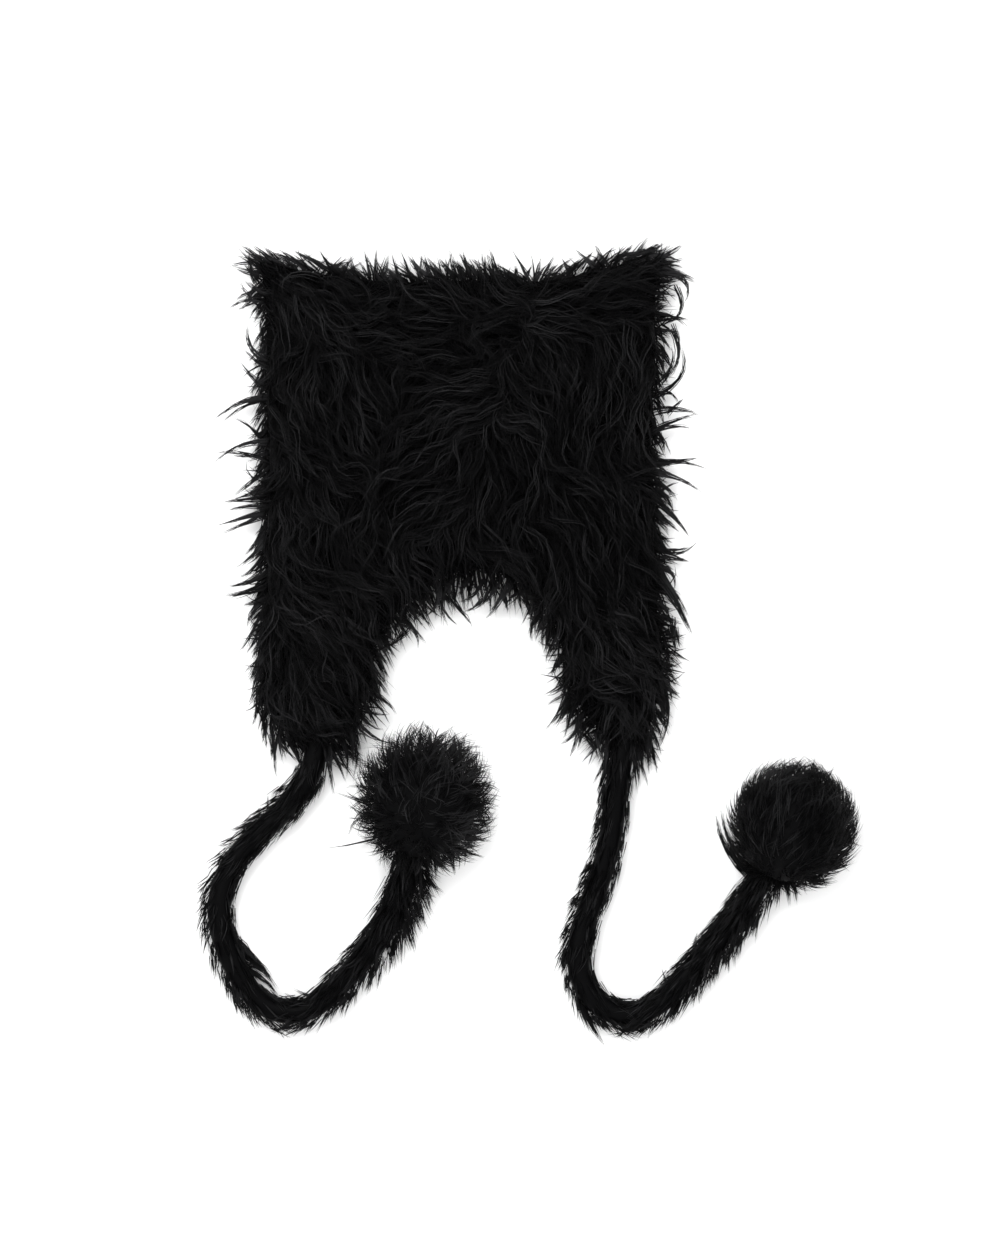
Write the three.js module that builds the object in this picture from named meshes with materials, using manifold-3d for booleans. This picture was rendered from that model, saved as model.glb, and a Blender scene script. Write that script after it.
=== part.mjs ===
// A black long-pile fur hat: a square crown with pointed top corners, two ear flaps and two furry ties that end in
// pompoms. It lies on its back on a flat surface, face side up, with the ties laid out loose, as it rests by itself.
// The crown is two cloth panels sewn at the sides and the top and open at the rim. Each ear flap is one cloth panel
// folded round the side of the head. Under the hat the pile is pressed flat, and elsewhere it stands out in locks.
// Millimetres. +Z is up and +Y runs from the rim to the top seam. The origin is on the underside, below the crown.

import * as THREE from "three";
import { mergeVertices } from "three/addons/utils/BufferGeometryUtils.js";
import Module from "manifold-3d";

const wasm = await Module();
wasm.setup();

// Cloth
const CLOTH = 3; // thickness of the backing cloth
const PRESSED_PILE = 8; // pile under the hat, pressed flat by its weight
const PRESSED_INSET = 7; // how far the pressed underside stays inside the seams
const SEAM_GAP = 0.3; // clearance between two pieces that are sewn together

// Crown, lying flat
const CROWN_WIDTH = 288; // from side seam to side seam
const CROWN_TOP = 181; // from the origin up to the corner tips
const CROWN_BOTTOM = 80; // from the origin down to the seams of the ear flaps
const TOP_SAG = 16; // how far the top seam sags between the corners
const ARCH_RISE = 32; // how far the rim rises between the ear flaps
const ARCH_LEFT = 48; // from the origin to the left flap's inner edge, at its seam
const ARCH_RIGHT = 65; // the same on the right
const HOLLOW_HEIGHT = 30; // room for the head at the middle of the crown

// Ear flaps
const FLAP_DROP = 93; // from seam to tip
const FLAP_OVERCUT = 20; // how far the tool that opens a flap runs past its inner edge

// Ties and pompoms
const TIE_DIAMETER = 17;
const TIE_STEPS = 22;
const TIE_SIDES = 10;
const SOCKET_GAP = 0.6; // clearance round a tie where it is sewn in
const POMPOM_RADIUS = 35; // the stuffed head, without its pile
const POMPOM_SAG = 0.9; // height of the sagged head as a share of its width

// Locks of pile
const LOCK_LENGTH = 37;
const LOCK_WIDTH = 22;
const LOCK_HEIGHT = 7;
const LOCK_STAND = 14; // how high a lock's tip stands above the cloth
const LOCK_ROOT = 1.5; // how deep a lock is rooted in the cloth
const FLAP_LOCK_LENGTH = 29; // the same on the ear flaps
const FRINGE_LENGTH = 22; // locks that stick out from under the hat
const FRINGE_WIDTH = 26;
const FRINGE_STAND = 2;
const POMPOM_LOCK_LENGTH = 26;
const POMPOM_LOCK_WIDTH = 20;
const POMPOM_LOCK_STAND = 12;

const SPREAD = 0.35; // radians by which a lock may stray from the combing
const VARIATION = 0.15; // share by which a lock's length may differ from the rest
const FRINGE_COMBING = 0.4; // how far the combing turns the locks round the underside
const POMPOM_COVER = 0.875; // share of a pompom, from the top down, that bears locks
const POMPOM_SWIRL = 0.5; // how far a pompom's locks stray up or down from lying level
const SIDE_ROUNDING = 2.4; // how square the crown's fullness is across, as a power
const SIDE_SWELL = 0.75; // how steeply it rises at the side seams, as a power
const ALONG_STRETCH = 1.8; // how much further a share of the crown's length reaches than one of its half width
const GOLDEN_ANGLE = Math.PI * (3 - Math.sqrt(5)); // spreads the pompoms' locks evenly
const NEAR = 0.01; // step, as a share of a surface, by which its slope is found

const HALF_WIDTH = CROWN_WIDTH / 2;
const CROWN_LENGTH = CROWN_TOP + CROWN_BOTTOM;
const FLOOR_OF_HOLLOW = PRESSED_PILE + CLOTH;

// Side seams: up runs from the flap seams, 0, to the corners, 1. left and right are shares of HALF_WIDTH.
const SIDE_SEAMS = [
  { up: 0.0, left: 1.01, right: 1.01 },
  { up: 0.25, left: 1.0, right: 1.0 },
  { up: 0.5, left: 1.0, right: 0.98 },
  { up: 0.75, left: 1.0, right: 1.0 },
  { up: 0.9, left: 1.01, right: 1.0 },
  { up: 1.0, left: 1.04, right: 1.03 },
];

// Top seam: across runs from the left seam, -1, to the right one, 1. sag is a share of TOP_SAG.
const TOP_SEAM = [
  { across: -1.0, sag: 0.0 },
  { across: -0.8, sag: 0.45 },
  { across: -0.55, sag: 0.8 },
  { across: -0.25, sag: 1.0 },
  { across: 0.1, sag: 0.9 },
  { across: 0.42, sag: 0.95 },
  { across: 0.65, sag: 0.55 },
  { across: 0.82, sag: 0.15 },
  { across: 1.0, sag: 0.0 },
];

// Rim between the flaps: across runs from the left flap, 0, to the right one, 1. rise is a share of ARCH_RISE.
const RIM_ARCH = [
  { across: 0.0, rise: 0.0 },
  { across: 0.12, rise: 0.35 },
  { across: 0.27, rise: 0.75 },
  { across: 0.45, rise: 1.0 },
  { across: 0.65, rise: 0.95 },
  { across: 0.85, rise: 0.6 },
  { across: 1.0, rise: 0.0 },
];

// Fullness of the crown from the rim, 0, to the top seam, 1. lift is a share of HOLLOW_HEIGHT.
const FULLNESS = [
  { up: 0.0, lift: 0.72 },
  { up: 0.2, lift: 0.88 },
  { up: 0.45, lift: 1.0 },
  { up: 0.7, lift: 0.86 },
  { up: 0.88, lift: 0.5 },
  { up: 1.0, lift: 0.0 },
];

// Dents in the crown's upper panel: across and up as above, reach as a share of HALF_WIDTH, depth of HOLLOW_HEIGHT.
const DENTS = [
  { across: -0.62, up: 0.86, reach: 0.22, depth: 0.16 }, // below the left corner
  { across: 0.6, up: 0.88, reach: 0.22, depth: 0.14 }, // below the right corner
  { across: 0.02, up: 0.94, reach: 0.35, depth: 0.12 }, // along the sagging top seam
  { across: -0.35, up: 0.62, reach: 0.25, depth: 0.1 },
  { across: 0.3, up: 0.35, reach: 0.3, depth: 0.08 },
];

// Ear flaps: down runs from the seam, 0, to the tip, 1. outer is the folded edge's place as a share of HALF_WIDTH,
// narrow how far the inner edge has moved out towards it, and lift the fullness left, as a share of that at the seam.
const FLAPS = {
  left: {
    side: -1,
    arch: ARCH_LEFT,
    sections: [
      { down: 0.0, outer: 1.01, narrow: 0.0, lift: 1.0 },
      { down: 0.22, outer: 1.02, narrow: 0.16, lift: 0.9 },
      { down: 0.46, outer: 1.02, narrow: 0.18, lift: 0.75 },
      { down: 0.7, outer: 1.0, narrow: 0.26, lift: 0.62 },
      { down: 0.86, outer: 0.95, narrow: 0.34, lift: 0.5 },
      { down: 1.0, outer: 0.87, narrow: 0.45, lift: 0.4 },
    ],
  },
  right: {
    side: 1,
    arch: ARCH_RIGHT,
    sections: [
      { down: 0.0, outer: 1.01, narrow: 0.0, lift: 1.0 },
      { down: 0.22, outer: 1.03, narrow: 0.13, lift: 0.9 },
      { down: 0.46, outer: 1.03, narrow: 0.17, lift: 0.75 },
      { down: 0.7, outer: 1.01, narrow: 0.27, lift: 0.62 },
      { down: 0.86, outer: 0.98, narrow: 0.4, lift: 0.5 },
      { down: 1.0, outer: 0.95, narrow: 0.55, lift: 0.4 },
    ],
  },
};
const FLAP_OPEN_TO = 0.82; // share of a flap's length down to which its two layers stand apart

// Routes of the ties' centre lines, chosen by hand: out of the flap, along the surface and into the pompom.
const TIE_ROUTES = {
  left: [
    [-106.5, -171.5, 10], [-107.5, -182, 10], [-110.5, -195, 10], [-117, -208, 10], [-126, -220.5, 10],
    [-137, -232, 10], [-149, -243, 10], [-160.5, -254.5, 10], [-170, -267, 10], [-176.5, -281, 10],
    [-179.5, -296.5, 10], [-178.8, -312, 10], [-175, -327, 10], [-169.5, -340, 10], [-162.7, -352.5, 10],
    [-154, -364.5, 10], [-142, -373.7, 10], [-127, -377, 10], [-112, -373.7, 10], [-99.7, -365, 10],
    [-88.6, -354, 10], [-77.5, -342, 10], [-66.5, -329, 10], [-56.5, -315, 10], [-48.5, -300.5, 10.5],
    [-42.5, -285, 12], [-38.5, -269, 15], [-34.8, -253, 18],
  ],
  right: [
    [121, -171.5, 10], [120, -182, 10], [117.5, -197, 10], [115.5, -212, 10], [113.5, -227, 10],
    [111.5, -242, 10], [108.5, -257, 10], [104.5, -272, 10], [99.5, -287, 10], [94, -302, 10],
    [89.5, -317, 10], [87, -332, 10], [88, -346.5, 10], [93, -360, 10], [102.5, -371, 10],
    [116, -377.5, 10], [131, -377.5, 10], [145, -371, 10], [157.5, -360, 10], [170, -347, 10],
    [182.5, -333, 10], [194, -319, 10], [204.5, -305.5, 10.5], [214, -292, 12], [222.5, -279.5, 15],
    [230, -266.5, 18],
  ],
};

// How far each pompom's middle lies past the end of its tie, as a share of POMPOM_RADIUS.
const POMPOM_AHEAD = 0.9;

// Sections of a lock from its root, 0, to its tip, 1: shares of its length, width and height.
const LOCK_SECTIONS = [
  { along: 0, wide: 0.75, high: 0.8 },
  { along: 0.5, wide: 0.8, high: 0.9 },
];

// The way the pile is combed: across and up as on the crown, with up below 0 on the flaps. heading is the way the
// tips point, in degrees from +X to +Y.
const COMBING = [
  { across: -0.95, up: 0.98, heading: 150 },
  { across: -0.45, up: 0.97, heading: 125 },
  { across: 0.2, up: 0.97, heading: 115 },
  { across: 0.65, up: 0.98, heading: 70 },
  { across: 0.98, up: 0.93, heading: 5 },
  { across: -0.7, up: 0.8, heading: -55 },
  { across: -0.2, up: 0.78, heading: 195 },
  { across: 0.45, up: 0.82, heading: 0 },
  { across: 0.75, up: 0.65, heading: -85 },
  { across: -1.0, up: 0.6, heading: 170 },
  { across: -0.6, up: 0.5, heading: -80 },
  { across: -0.1, up: 0.5, heading: 218 },
  { across: 0.4, up: 0.45, heading: -55 },
  { across: 1.0, up: 0.5, heading: -15 },
  { across: -1.0, up: 0.25, heading: 200 },
  { across: -0.4, up: 0.2, heading: -105 },
  { across: 0.1, up: 0.25, heading: -85 },
  { across: 0.6, up: 0.2, heading: -75 },
  { across: 1.0, up: 0.1, heading: -45 },
  { across: -1.0, up: -0.1, heading: 215 },
  { across: -0.55, up: -0.15, heading: -55 },
  { across: -0.95, up: -0.4, heading: -105 },
  { across: 0.55, up: -0.15, heading: -115 },
  { across: 1.0, up: -0.2, heading: -65 },
  { across: 0.85, up: -0.45, heading: -90 },
];

// A table's column at any key, read through a smooth curve that passes every row.
function readTable(table, key, column, at) {
  const last = table.length - 1;
  let i = 0;
  while (i < last - 1 && at > table[i + 1][key]) i += 1;
  const slope = (k) => {
    const a = table[Math.max(k - 1, 0)];
    const b = table[Math.min(k + 1, last)];
    return (b[column] - a[column]) / (b[key] - a[key]);
  };
  const [low, high] = [table[i], table[i + 1]];
  const span = high[key] - low[key];
  const t = THREE.MathUtils.clamp((at - low[key]) / span, 0, 1);
  const [t2, t3] = [t * t, t * t * t];
  return (
    low[column] * (2 * t3 - 3 * t2 + 1) +
    slope(i) * span * (t3 - 2 * t2 + t) +
    high[column] * (3 * t2 - 2 * t3) +
    slope(i + 1) * span * (t3 - t2)
  );
}

// A repeatable number from 0 to 1 for lock number n and use k.
function chance(n, k) {
  const x = Math.sin(n * 12.9898 + k * 78.233) * 43758.5453;
  return x - Math.floor(x);
}

// A size's share for lock number n and use k, a little under or over 1.
const vary = (n, k) => 1 + VARIATION * (2 * chance(n, k) - 1);

// Closed mesh data to a solid, turned outwards if it was wound the other way.
function solidOf(points, triangles) {
  const vertProperties = new Float32Array(points.flatMap((p) => [p.x, p.y, p.z]));
  const made = new wasm.Manifold(
    new wasm.Mesh({ numProp: 3, vertProperties, triVerts: new Uint32Array(triangles) }),
  );
  if (made.volume() > 0) return made;
  const turned = triangles.map((_, i) => triangles[i - (i % 3) + [0, 2, 1][i % 3]]);
  return new wasm.Manifold(
    new wasm.Mesh({ numProp: 3, vertProperties, triVerts: new Uint32Array(turned) }),
  );
}

// A three.js geometry to a solid.
function solidOfGeometry(geometry) {
  const bare = geometry.clone();
  bare.deleteAttribute("normal");
  bare.deleteAttribute("uv");
  const merged = mergeVertices(bare, 1e-3);
  const position = merged.getAttribute("position");
  const points = Array.from({ length: position.count }, (_, i) =>
    new THREE.Vector3().fromBufferAttribute(position, i),
  );
  return solidOf(points, Array.from(merged.index.array));
}

function geometryOf(solid) {
  const mesh = solid.getMesh();
  const geometry = new THREE.BufferGeometry();
  geometry.setAttribute("position", new THREE.BufferAttribute(mesh.vertProperties, mesh.numProp));
  geometry.setIndex(new THREE.BufferAttribute(mesh.triVerts, 1));
  geometry.computeVertexNormals();
  return geometry;
}

// A solid between an upper and a lower surface, each a grid of points, joined all round the edge.
function shell(upper, lower) {
  const columns = upper[0].length;
  const half = upper.length * columns;
  const triangles = [];
  const wall = (from, to) => triangles.push(from, to, to + half, from, to + half, from + half);
  for (let r = 0; r < upper.length - 1; r += 1) {
    for (let c = 0; c < columns - 1; c += 1) {
      const a = r * columns + c;
      const [b, d, e] = [a + 1, a + columns, a + columns + 1];
      triangles.push(a, b, e, a, e, d, a + half, e + half, b + half, a + half, d + half, e + half);
      if (r === 0) wall(b, a);
      if (r === upper.length - 2) wall(d, e);
      if (c === 0) wall(a, d);
      if (c === columns - 2) wall(e, b);
    }
  }
  return solidOf([...upper.flat(), ...lower.flat()], triangles);
}

// A grid of points, place(column, row), over two lists of shares.
const grid = (columns, rows, place) => rows.map((row) => columns.map((column) => place(column, row)));

// The largest body of a solid, without the crumbs that a cut leaves.
function largest(solid) {
  return solid.decompose().reduce((a, b) => (a.volume() > b.volume() ? a : b));
}

// One lock of pile: a tapering blade with a ridge. It leaves its root at a slant and bends over along the nap.
function lock({ root, normal, nap, length, width, height, stand, sink = LOCK_ROOT }) {
  const side = new THREE.Vector3().crossVectors(nap, normal).normalize();
  const middle = (t) =>
    root
      .clone()
      .addScaledVector(nap, length * t)
      .addScaledVector(normal, stand * (1 - (1 - t) ** 2) - sink * (1 - t));
  const points = [];
  for (const { along, wide, high } of LOCK_SECTIONS) {
    points.push(
      middle(along).addScaledVector(side, (-width / 2) * wide),
      middle(along).addScaledVector(side, (width / 2) * wide),
      middle(along).addScaledVector(normal, height * high),
    );
  }
  points.push(middle(1));
  const triangles = [0, 2, 1];
  for (const [a, b] of [[0, 1], [1, 2], [2, 0]]) {
    triangles.push(a, b, b + 3, a, b + 3, a + 3, a + 3, b + 3, 6);
  }
  return solidOf(points, triangles);
}

// The way the pile points at a place on the hat's face, in the plane.
function combed(x, y) {
  const across = x / HALF_WIDTH;
  const up = (y + CROWN_BOTTOM) / CROWN_LENGTH;
  const way = new THREE.Vector2();
  for (const row of COMBING) {
    const near = (across - row.across) ** 2 + (ALONG_STRETCH * (up - row.up)) ** 2 + 0.01;
    const angle = THREE.MathUtils.degToRad(row.heading);
    way.x += Math.cos(angle) / near ** 1.5;
    way.y += Math.sin(angle) / near ** 1.5;
  }
  return way.normalize();
}

// Locks in staggered rows all over an upper surface given as place(u, v), with u and v from 0 to 1. Each is turned
// from the combing by up to SPREAD.
function plant(place, rows, columns, seed, longest = LOCK_LENGTH) {
  const locks = [];
  for (let r = 0; r < rows; r += 1) {
    for (let c = 0; c < columns; c += 1) {
      const n = seed + r * columns + c;
      const u = (c + 0.3 + 0.4 * (r % 2) + 0.4 * (chance(n, 1) - 0.5)) / columns;
      const v = (r + 0.5 + 0.4 * (chance(n, 2) - 0.5)) / rows;
      const root = place(u, v);
      const alongU = place(u + NEAR, v).sub(place(u - NEAR, v));
      const alongV = place(u, v + NEAR).sub(place(u, v - NEAR));
      const normal = alongU.cross(alongV).normalize();
      if (normal.z < 0) normal.negate();
      const way = combed(root.x, root.y).rotateAround(new THREE.Vector2(), SPREAD * (2 * chance(n, 3) - 1));
      const nap = new THREE.Vector3(way.x, way.y, 0);
      nap.addScaledVector(normal, -nap.dot(normal)).normalize();
      const length = longest * vary(n, 4);
      const stand = LOCK_STAND * vary(n, 5);
      locks.push(lock({ root, normal, nap, length, width: LOCK_WIDTH, height: LOCK_HEIGHT, stand }));
    }
  }
  return locks;
}

// Locks that stick out level, from the pressed pile, along an edge given as a path that turns left round its piece.
function fringe(edge, count, seed) {
  const normal = new THREE.Vector3(0, 0, 1);
  return Array.from({ length: count }, (_, i) => {
    const n = seed + i;
    const s = (i + 0.5) / count;
    const along = edge(s + NEAR).sub(edge(s - NEAR)).normalize();
    const out = new THREE.Vector3(along.y, -along.x, 0);
    const root = edge(s).addScaledVector(out, -PRESSED_INSET).setZ(PRESSED_PILE / 2);
    const way = combed(root.x, root.y).multiplyScalar(FRINGE_COMBING);
    const nap = out.add(new THREE.Vector3(way.x, way.y, 0)).normalize();
    const length = FRINGE_LENGTH * vary(n, 4);
    return lock({ root, normal, nap, length, width: FRINGE_WIDTH, height: LOCK_HEIGHT, stand: FRINGE_STAND });
  });
}

// Crown
function sideX(across, up) {
  return across * HALF_WIDTH * readTable(SIDE_SEAMS, "up", across < 0 ? "left" : "right", up);
}

function rimY(across) {
  const share = (across * HALF_WIDTH + ARCH_LEFT) / (ARCH_LEFT + ARCH_RIGHT);
  const rise = share > 0 && share < 1 ? readTable(RIM_ARCH, "across", "rise", share) : 0;
  return -CROWN_BOTTOM + ARCH_RISE * rise;
}

function crownPlace(across, up, z) {
  const topY = CROWN_TOP - TOP_SAG * readTable(TOP_SEAM, "across", "sag", across);
  return new THREE.Vector3(sideX(across, up), THREE.MathUtils.lerp(rimY(across), topY, up), z);
}

// How high the upper panel stands off the lower one.
function fullness(across, up) {
  const round = Math.max(0, 1 - Math.abs(across) ** SIDE_ROUNDING) ** SIDE_SWELL;
  let lift = round * Math.max(0, readTable(FULLNESS, "up", "lift", up));
  for (const dent of DENTS) {
    const far = ((across - dent.across) ** 2 + (ALONG_STRETCH * (up - dent.up)) ** 2) / dent.reach ** 2;
    lift -= round * Math.min(lift, dent.depth) * Math.exp(-far);
  }
  return HOLLOW_HEIGHT * lift;
}

// Places across the crown, closer together near the side seams where the panel curves most, and at the flaps' edges.
const ARCH_PLACES = [0, 0.12, 0.3, 0.5, 0.7, 0.88, 1].map(
  (share) => (share * (ARCH_LEFT + ARCH_RIGHT) - ARCH_LEFT) / HALF_WIDTH,
);
const ACROSS = [-1, -0.96, -0.86, -0.7, -0.5, ...ARCH_PLACES, 0.6, 0.76, 0.88, 0.96, 1];
const UP = [0, 0.1, 0.25, 0.42, 0.6, 0.76, 0.88, 0.96, 1];

function crownFront() {
  const seam = FLOOR_OF_HOLLOW + SEAM_GAP;
  const inner = (across, up) => crownPlace(across, up, seam + fullness(across, up));
  const outer = (across, up) => crownPlace(across, up, seam + fullness(across, up) + CLOTH);
  const locks = plant((u, v) => outer(2 * u - 1, v), 9, 10, 300);
  return wasm.Manifold.union([shell(grid(ACROSS, UP, outer), grid(ACROSS, UP, inner)), ...locks])
    .trimByPlane([0, 0, 1], seam)
    .trimByPlane([0, 1, 0], -CROWN_BOTTOM);
}

function crownBack() {
  const upper = (across, up) => crownPlace(across, up, FLOOR_OF_HOLLOW);
  const lower = (across, up) =>
    crownPlace(across, up, 0).add(
      new THREE.Vector3(-across * PRESSED_INSET, (1 - 2 * up) * PRESSED_INSET, 0),
    );
  const sidesAndTop = (s) => {
    if (s < 1 / 3) return crownPlace(1, 3 * s, 0);
    if (s < 2 / 3) return crownPlace(3 - 6 * s, 1, 0);
    return crownPlace(-1, 3 - 3 * s, 0);
  };
  const arch = (s) => crownPlace((s * (ARCH_LEFT + ARCH_RIGHT) - ARCH_LEFT) / HALF_WIDTH, 0, 0);
  const locks = [...fringe(sidesAndTop, 26, 500), ...fringe(arch, 5, 600)];
  return wasm.Manifold.union([shell(grid(ACROSS, UP, upper), grid(ACROSS, UP, lower)), ...locks])
    .trimByPlane([0, 0, 1], 0)
    .trimByPlane([0, 0, -1], -FLOOR_OF_HOLLOW)
    .trimByPlane([0, 1, 0], -CROWN_BOTTOM);
}

// Ear flaps
function earFlap({ side, arch, sections }, seed) {
  const top = -CROWN_BOTTOM - SEAM_GAP;
  const outerX = (down) => side * HALF_WIDTH * readTable(sections, "down", "outer", down);
  const innerX = (down) => side * (arch + (HALF_WIDTH - arch) * readTable(sections, "down", "narrow", down));
  // out runs from the inner edge, 0, to the fold, 1. past moves the inner edge in and fold draws the fold in.
  const place = (out, down, z, past = 0, fold = 0) =>
    new THREE.Vector3(
      THREE.MathUtils.lerp(innerX(down) - side * past, outerX(down) - side * fold, out),
      top - FLAP_DROP * down,
      z,
    );
  const roof = (out, down, past, fold) => {
    const spot = place(out, down, 0, past, fold);
    const lift = Math.max(0, readTable(sections, "down", "lift", down));
    const height = fullness(spot.x / Math.abs(outerX(down)), 0) * lift;
    return spot.setZ(FLOOR_OF_HOLLOW + SEAM_GAP + height);
  };
  const outs = [0, 0.2, 0.45, 0.7, 0.86, 0.96, 1];
  const downs = [0, 0.12, 0.28, 0.46, 0.64, 0.82, 1];
  const cover = (out, down) => roof(out, down, 0, 0).add(new THREE.Vector3(0, 0, CLOTH));
  const under = (out, down) => {
    const inset = side * (1 - 2 * out) * PRESSED_INSET;
    return place(out, down, 0).add(new THREE.Vector3(inset, down * PRESSED_INSET, 0));
  };
  const openDowns = downs.slice(0, -1).map((down) => down * (FLAP_OPEN_TO / downs.at(-2)) - 0.02);
  const space = shell(
    grid(outs, openDowns, (out, down) => roof(out, down, FLAP_OVERCUT, CLOTH)),
    grid(outs, openDowns, (out, down) => place(out, down, FLOOR_OF_HOLLOW, FLAP_OVERCUT, CLOTH)),
  );
  // The flap's edge, turning left round it: down one side, along the tip and up the other side.
  const across = (w, down) => place(side < 0 ? 1 - w : w, down, 0);
  const edge = (s) => {
    if (s < 1 / 3) return across(0, 3 * s);
    if (s < 2 / 3) return across(3 * s - 1, 1);
    return across(1, 3 - 3 * s);
  };
  const pile = [
    ...plant((u, v) => cover(u, v), 4, 4, seed, FLAP_LOCK_LENGTH),
    ...fringe(edge, 11, seed + 50).map((each) => each.trimByPlane([0, 0, -1], -FLOOR_OF_HOLLOW)),
  ];
  const layers = shell(grid(outs, downs, cover), grid(outs, downs, under)).subtract(space);
  return wasm.Manifold.union([layers, ...pile])
    .trimByPlane([0, 0, 1], 0)
    .trimByPlane([0, -1, 0], -top);
}

// Ties: a furry tube along its route. spare makes it thicker and longer, for the seat it is sewn into.
function tie(points, spare = 0) {
  const route = points.map((p) => new THREE.Vector3(...p));
  const [first, second] = route;
  const [beforeLast, last] = route.slice(-2);
  if (spare) {
    first.add(first.clone().sub(second).setLength(spare));
    last.add(last.clone().sub(beforeLast).setLength(spare));
  }
  const section = new THREE.Shape();
  for (let i = 0; i < TIE_SIDES; i += 1) {
    const angle = ((i + 0.5) / TIE_SIDES) * 2 * Math.PI;
    const reach = TIE_DIAMETER / 2 + spare;
    section[i ? "lineTo" : "moveTo"](reach * Math.cos(angle), reach * Math.sin(angle));
  }
  section.closePath();
  const curve = new THREE.CatmullRomCurve3(route, false, "centripetal");
  return new THREE.ExtrudeGeometry(section, { steps: TIE_STEPS, bevelEnabled: false, extrudePath: curve });
}

// Pompoms: a stuffed head that sags on the surface, with locks that curl round it.
function pompom(points, count, seed) {
  const [before, end] = points.slice(-2).map((p) => new THREE.Vector3(p[0], p[1], 0));
  const middle = end.clone().add(end.clone().sub(before).setLength(POMPOM_AHEAD * POMPOM_RADIUS));
  middle.z = POMPOM_RADIUS * POMPOM_SAG;
  const head = new THREE.IcosahedronGeometry(POMPOM_RADIUS, 2);
  head.scale(1, 1, POMPOM_SAG).translate(...middle);
  const locks = [];
  for (let i = 0; i < count; i += 1) {
    const n = seed + i;
    const height = 1 - (2 * POMPOM_COVER * (i + 0.5)) / count;
    const turn = i * GOLDEN_ANGLE;
    const level = Math.sqrt(1 - height * height);
    const normal = new THREE.Vector3(level * Math.cos(turn), level * Math.sin(turn), height);
    const root = middle.clone().addScaledVector(normal, POMPOM_RADIUS * POMPOM_SAG);
    const nap = new THREE.Vector3(-Math.sin(turn), Math.cos(turn), POMPOM_SWIRL * (2 * chance(n, 1) - 1));
    nap.addScaledVector(normal, -nap.dot(normal)).normalize();
    const length = POMPOM_LOCK_LENGTH * vary(n, 4);
    const stand = POMPOM_LOCK_STAND * vary(n, 5);
    const sink = POMPOM_RADIUS * (1 - POMPOM_SAG);
    locks.push(lock({ root, normal, nap, length, width: POMPOM_LOCK_WIDTH, height: LOCK_HEIGHT, stand, sink }));
  }
  return wasm.Manifold.union([solidOfGeometry(head), ...locks]).trimByPlane([0, 0, 1], 0);
}

// Assembly
const fur = new THREE.MeshStandardMaterial({ color: 0x0b0b0d, roughness: 0.85, metalness: 0 });
const pressedFur = new THREE.MeshStandardMaterial({ color: 0x09090a, roughness: 0.95, metalness: 0 });
const hat = new THREE.Group();

function add(name, geometry, material) {
  const mesh = new THREE.Mesh(geometry, material);
  mesh.name = name;
  hat.add(mesh);
}

add("crown_front", geometryOf(largest(crownFront())), fur);
add("crown_back", geometryOf(largest(crownBack())), pressedFur);
Object.entries(FLAPS).forEach(([name, flap], i) => {
  const route = TIE_ROUTES[name];
  const seat = solidOfGeometry(tie(route, SOCKET_GAP));
  const seed = 1000 * (i + 1);
  add(`ear_flap_${name}`, geometryOf(largest(earFlap(flap, seed).subtract(seat))), fur);
  add(`tie_${name}`, tie(route), fur);
  add(`pompom_${name}`, geometryOf(largest(pompom(route, 32, seed + 500).subtract(seat))), fur);
});

export default hat;
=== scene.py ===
import math

import bpy
import numpy as np
from bpy.props import FloatProperty, FloatVectorProperty, IntProperty, PointerProperty
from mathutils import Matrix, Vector


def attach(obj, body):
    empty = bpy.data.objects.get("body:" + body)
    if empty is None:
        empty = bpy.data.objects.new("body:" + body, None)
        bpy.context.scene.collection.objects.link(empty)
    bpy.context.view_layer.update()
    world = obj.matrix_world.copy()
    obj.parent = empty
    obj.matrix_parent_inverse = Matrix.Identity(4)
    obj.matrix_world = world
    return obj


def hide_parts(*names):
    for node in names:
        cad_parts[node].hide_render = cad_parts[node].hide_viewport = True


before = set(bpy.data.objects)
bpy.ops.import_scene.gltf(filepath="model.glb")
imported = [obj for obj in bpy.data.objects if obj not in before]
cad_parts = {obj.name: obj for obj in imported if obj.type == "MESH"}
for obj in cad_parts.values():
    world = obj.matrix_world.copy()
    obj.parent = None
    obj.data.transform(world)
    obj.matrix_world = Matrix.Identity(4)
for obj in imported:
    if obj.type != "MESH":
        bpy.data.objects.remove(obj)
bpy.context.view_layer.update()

# A black long-pile hat that lies on its back, face side up: a square crown with pointed top corners, two
# ear flaps, and two furry ties that end in pompoms. Metres. +Z is up and +Y runs from the rim to the top
# seam. The cloth, the pressed underside and the ties' cores are modelled on the routes and seams of the
# solid model. The pile is grown on them: locks follow the combing, and each lock is a bundle of closed,
# tapering strands.

bl_info = {
    "name": "Furry Hat",
    "version": (1, 0, 0),
    "blender": (4, 5, 0),
    "location": "View3D > Sidebar > Furry Hat",
    "description": "Builds a shaggy black hat with ear flaps and furry ties that end in pompoms",
    "category": "Object",
}

BODY = "root"
MM = 0.001

# Pixels of the photograph, and how they lie in the frame
PIXEL = 0.74 * MM
PIXEL_OF_ORIGIN = (461.0, 504.3)
PICTURE_MIDDLE = (500.5, 625.0)

# The stage, in metres. The sensor is in millimetres
HAT_MIDDLE_HEIGHT = 30 * MM
SENSOR = 36
FLOOR_RADIUS = 12
FLOOR_SIDES = 96
KEY_PLACE = (-0.5, 0.75, 1.7)
KEY_AIM = (0.03, -0.05, 0)
KEY_SIZE = (1.2, 0.8)

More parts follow.
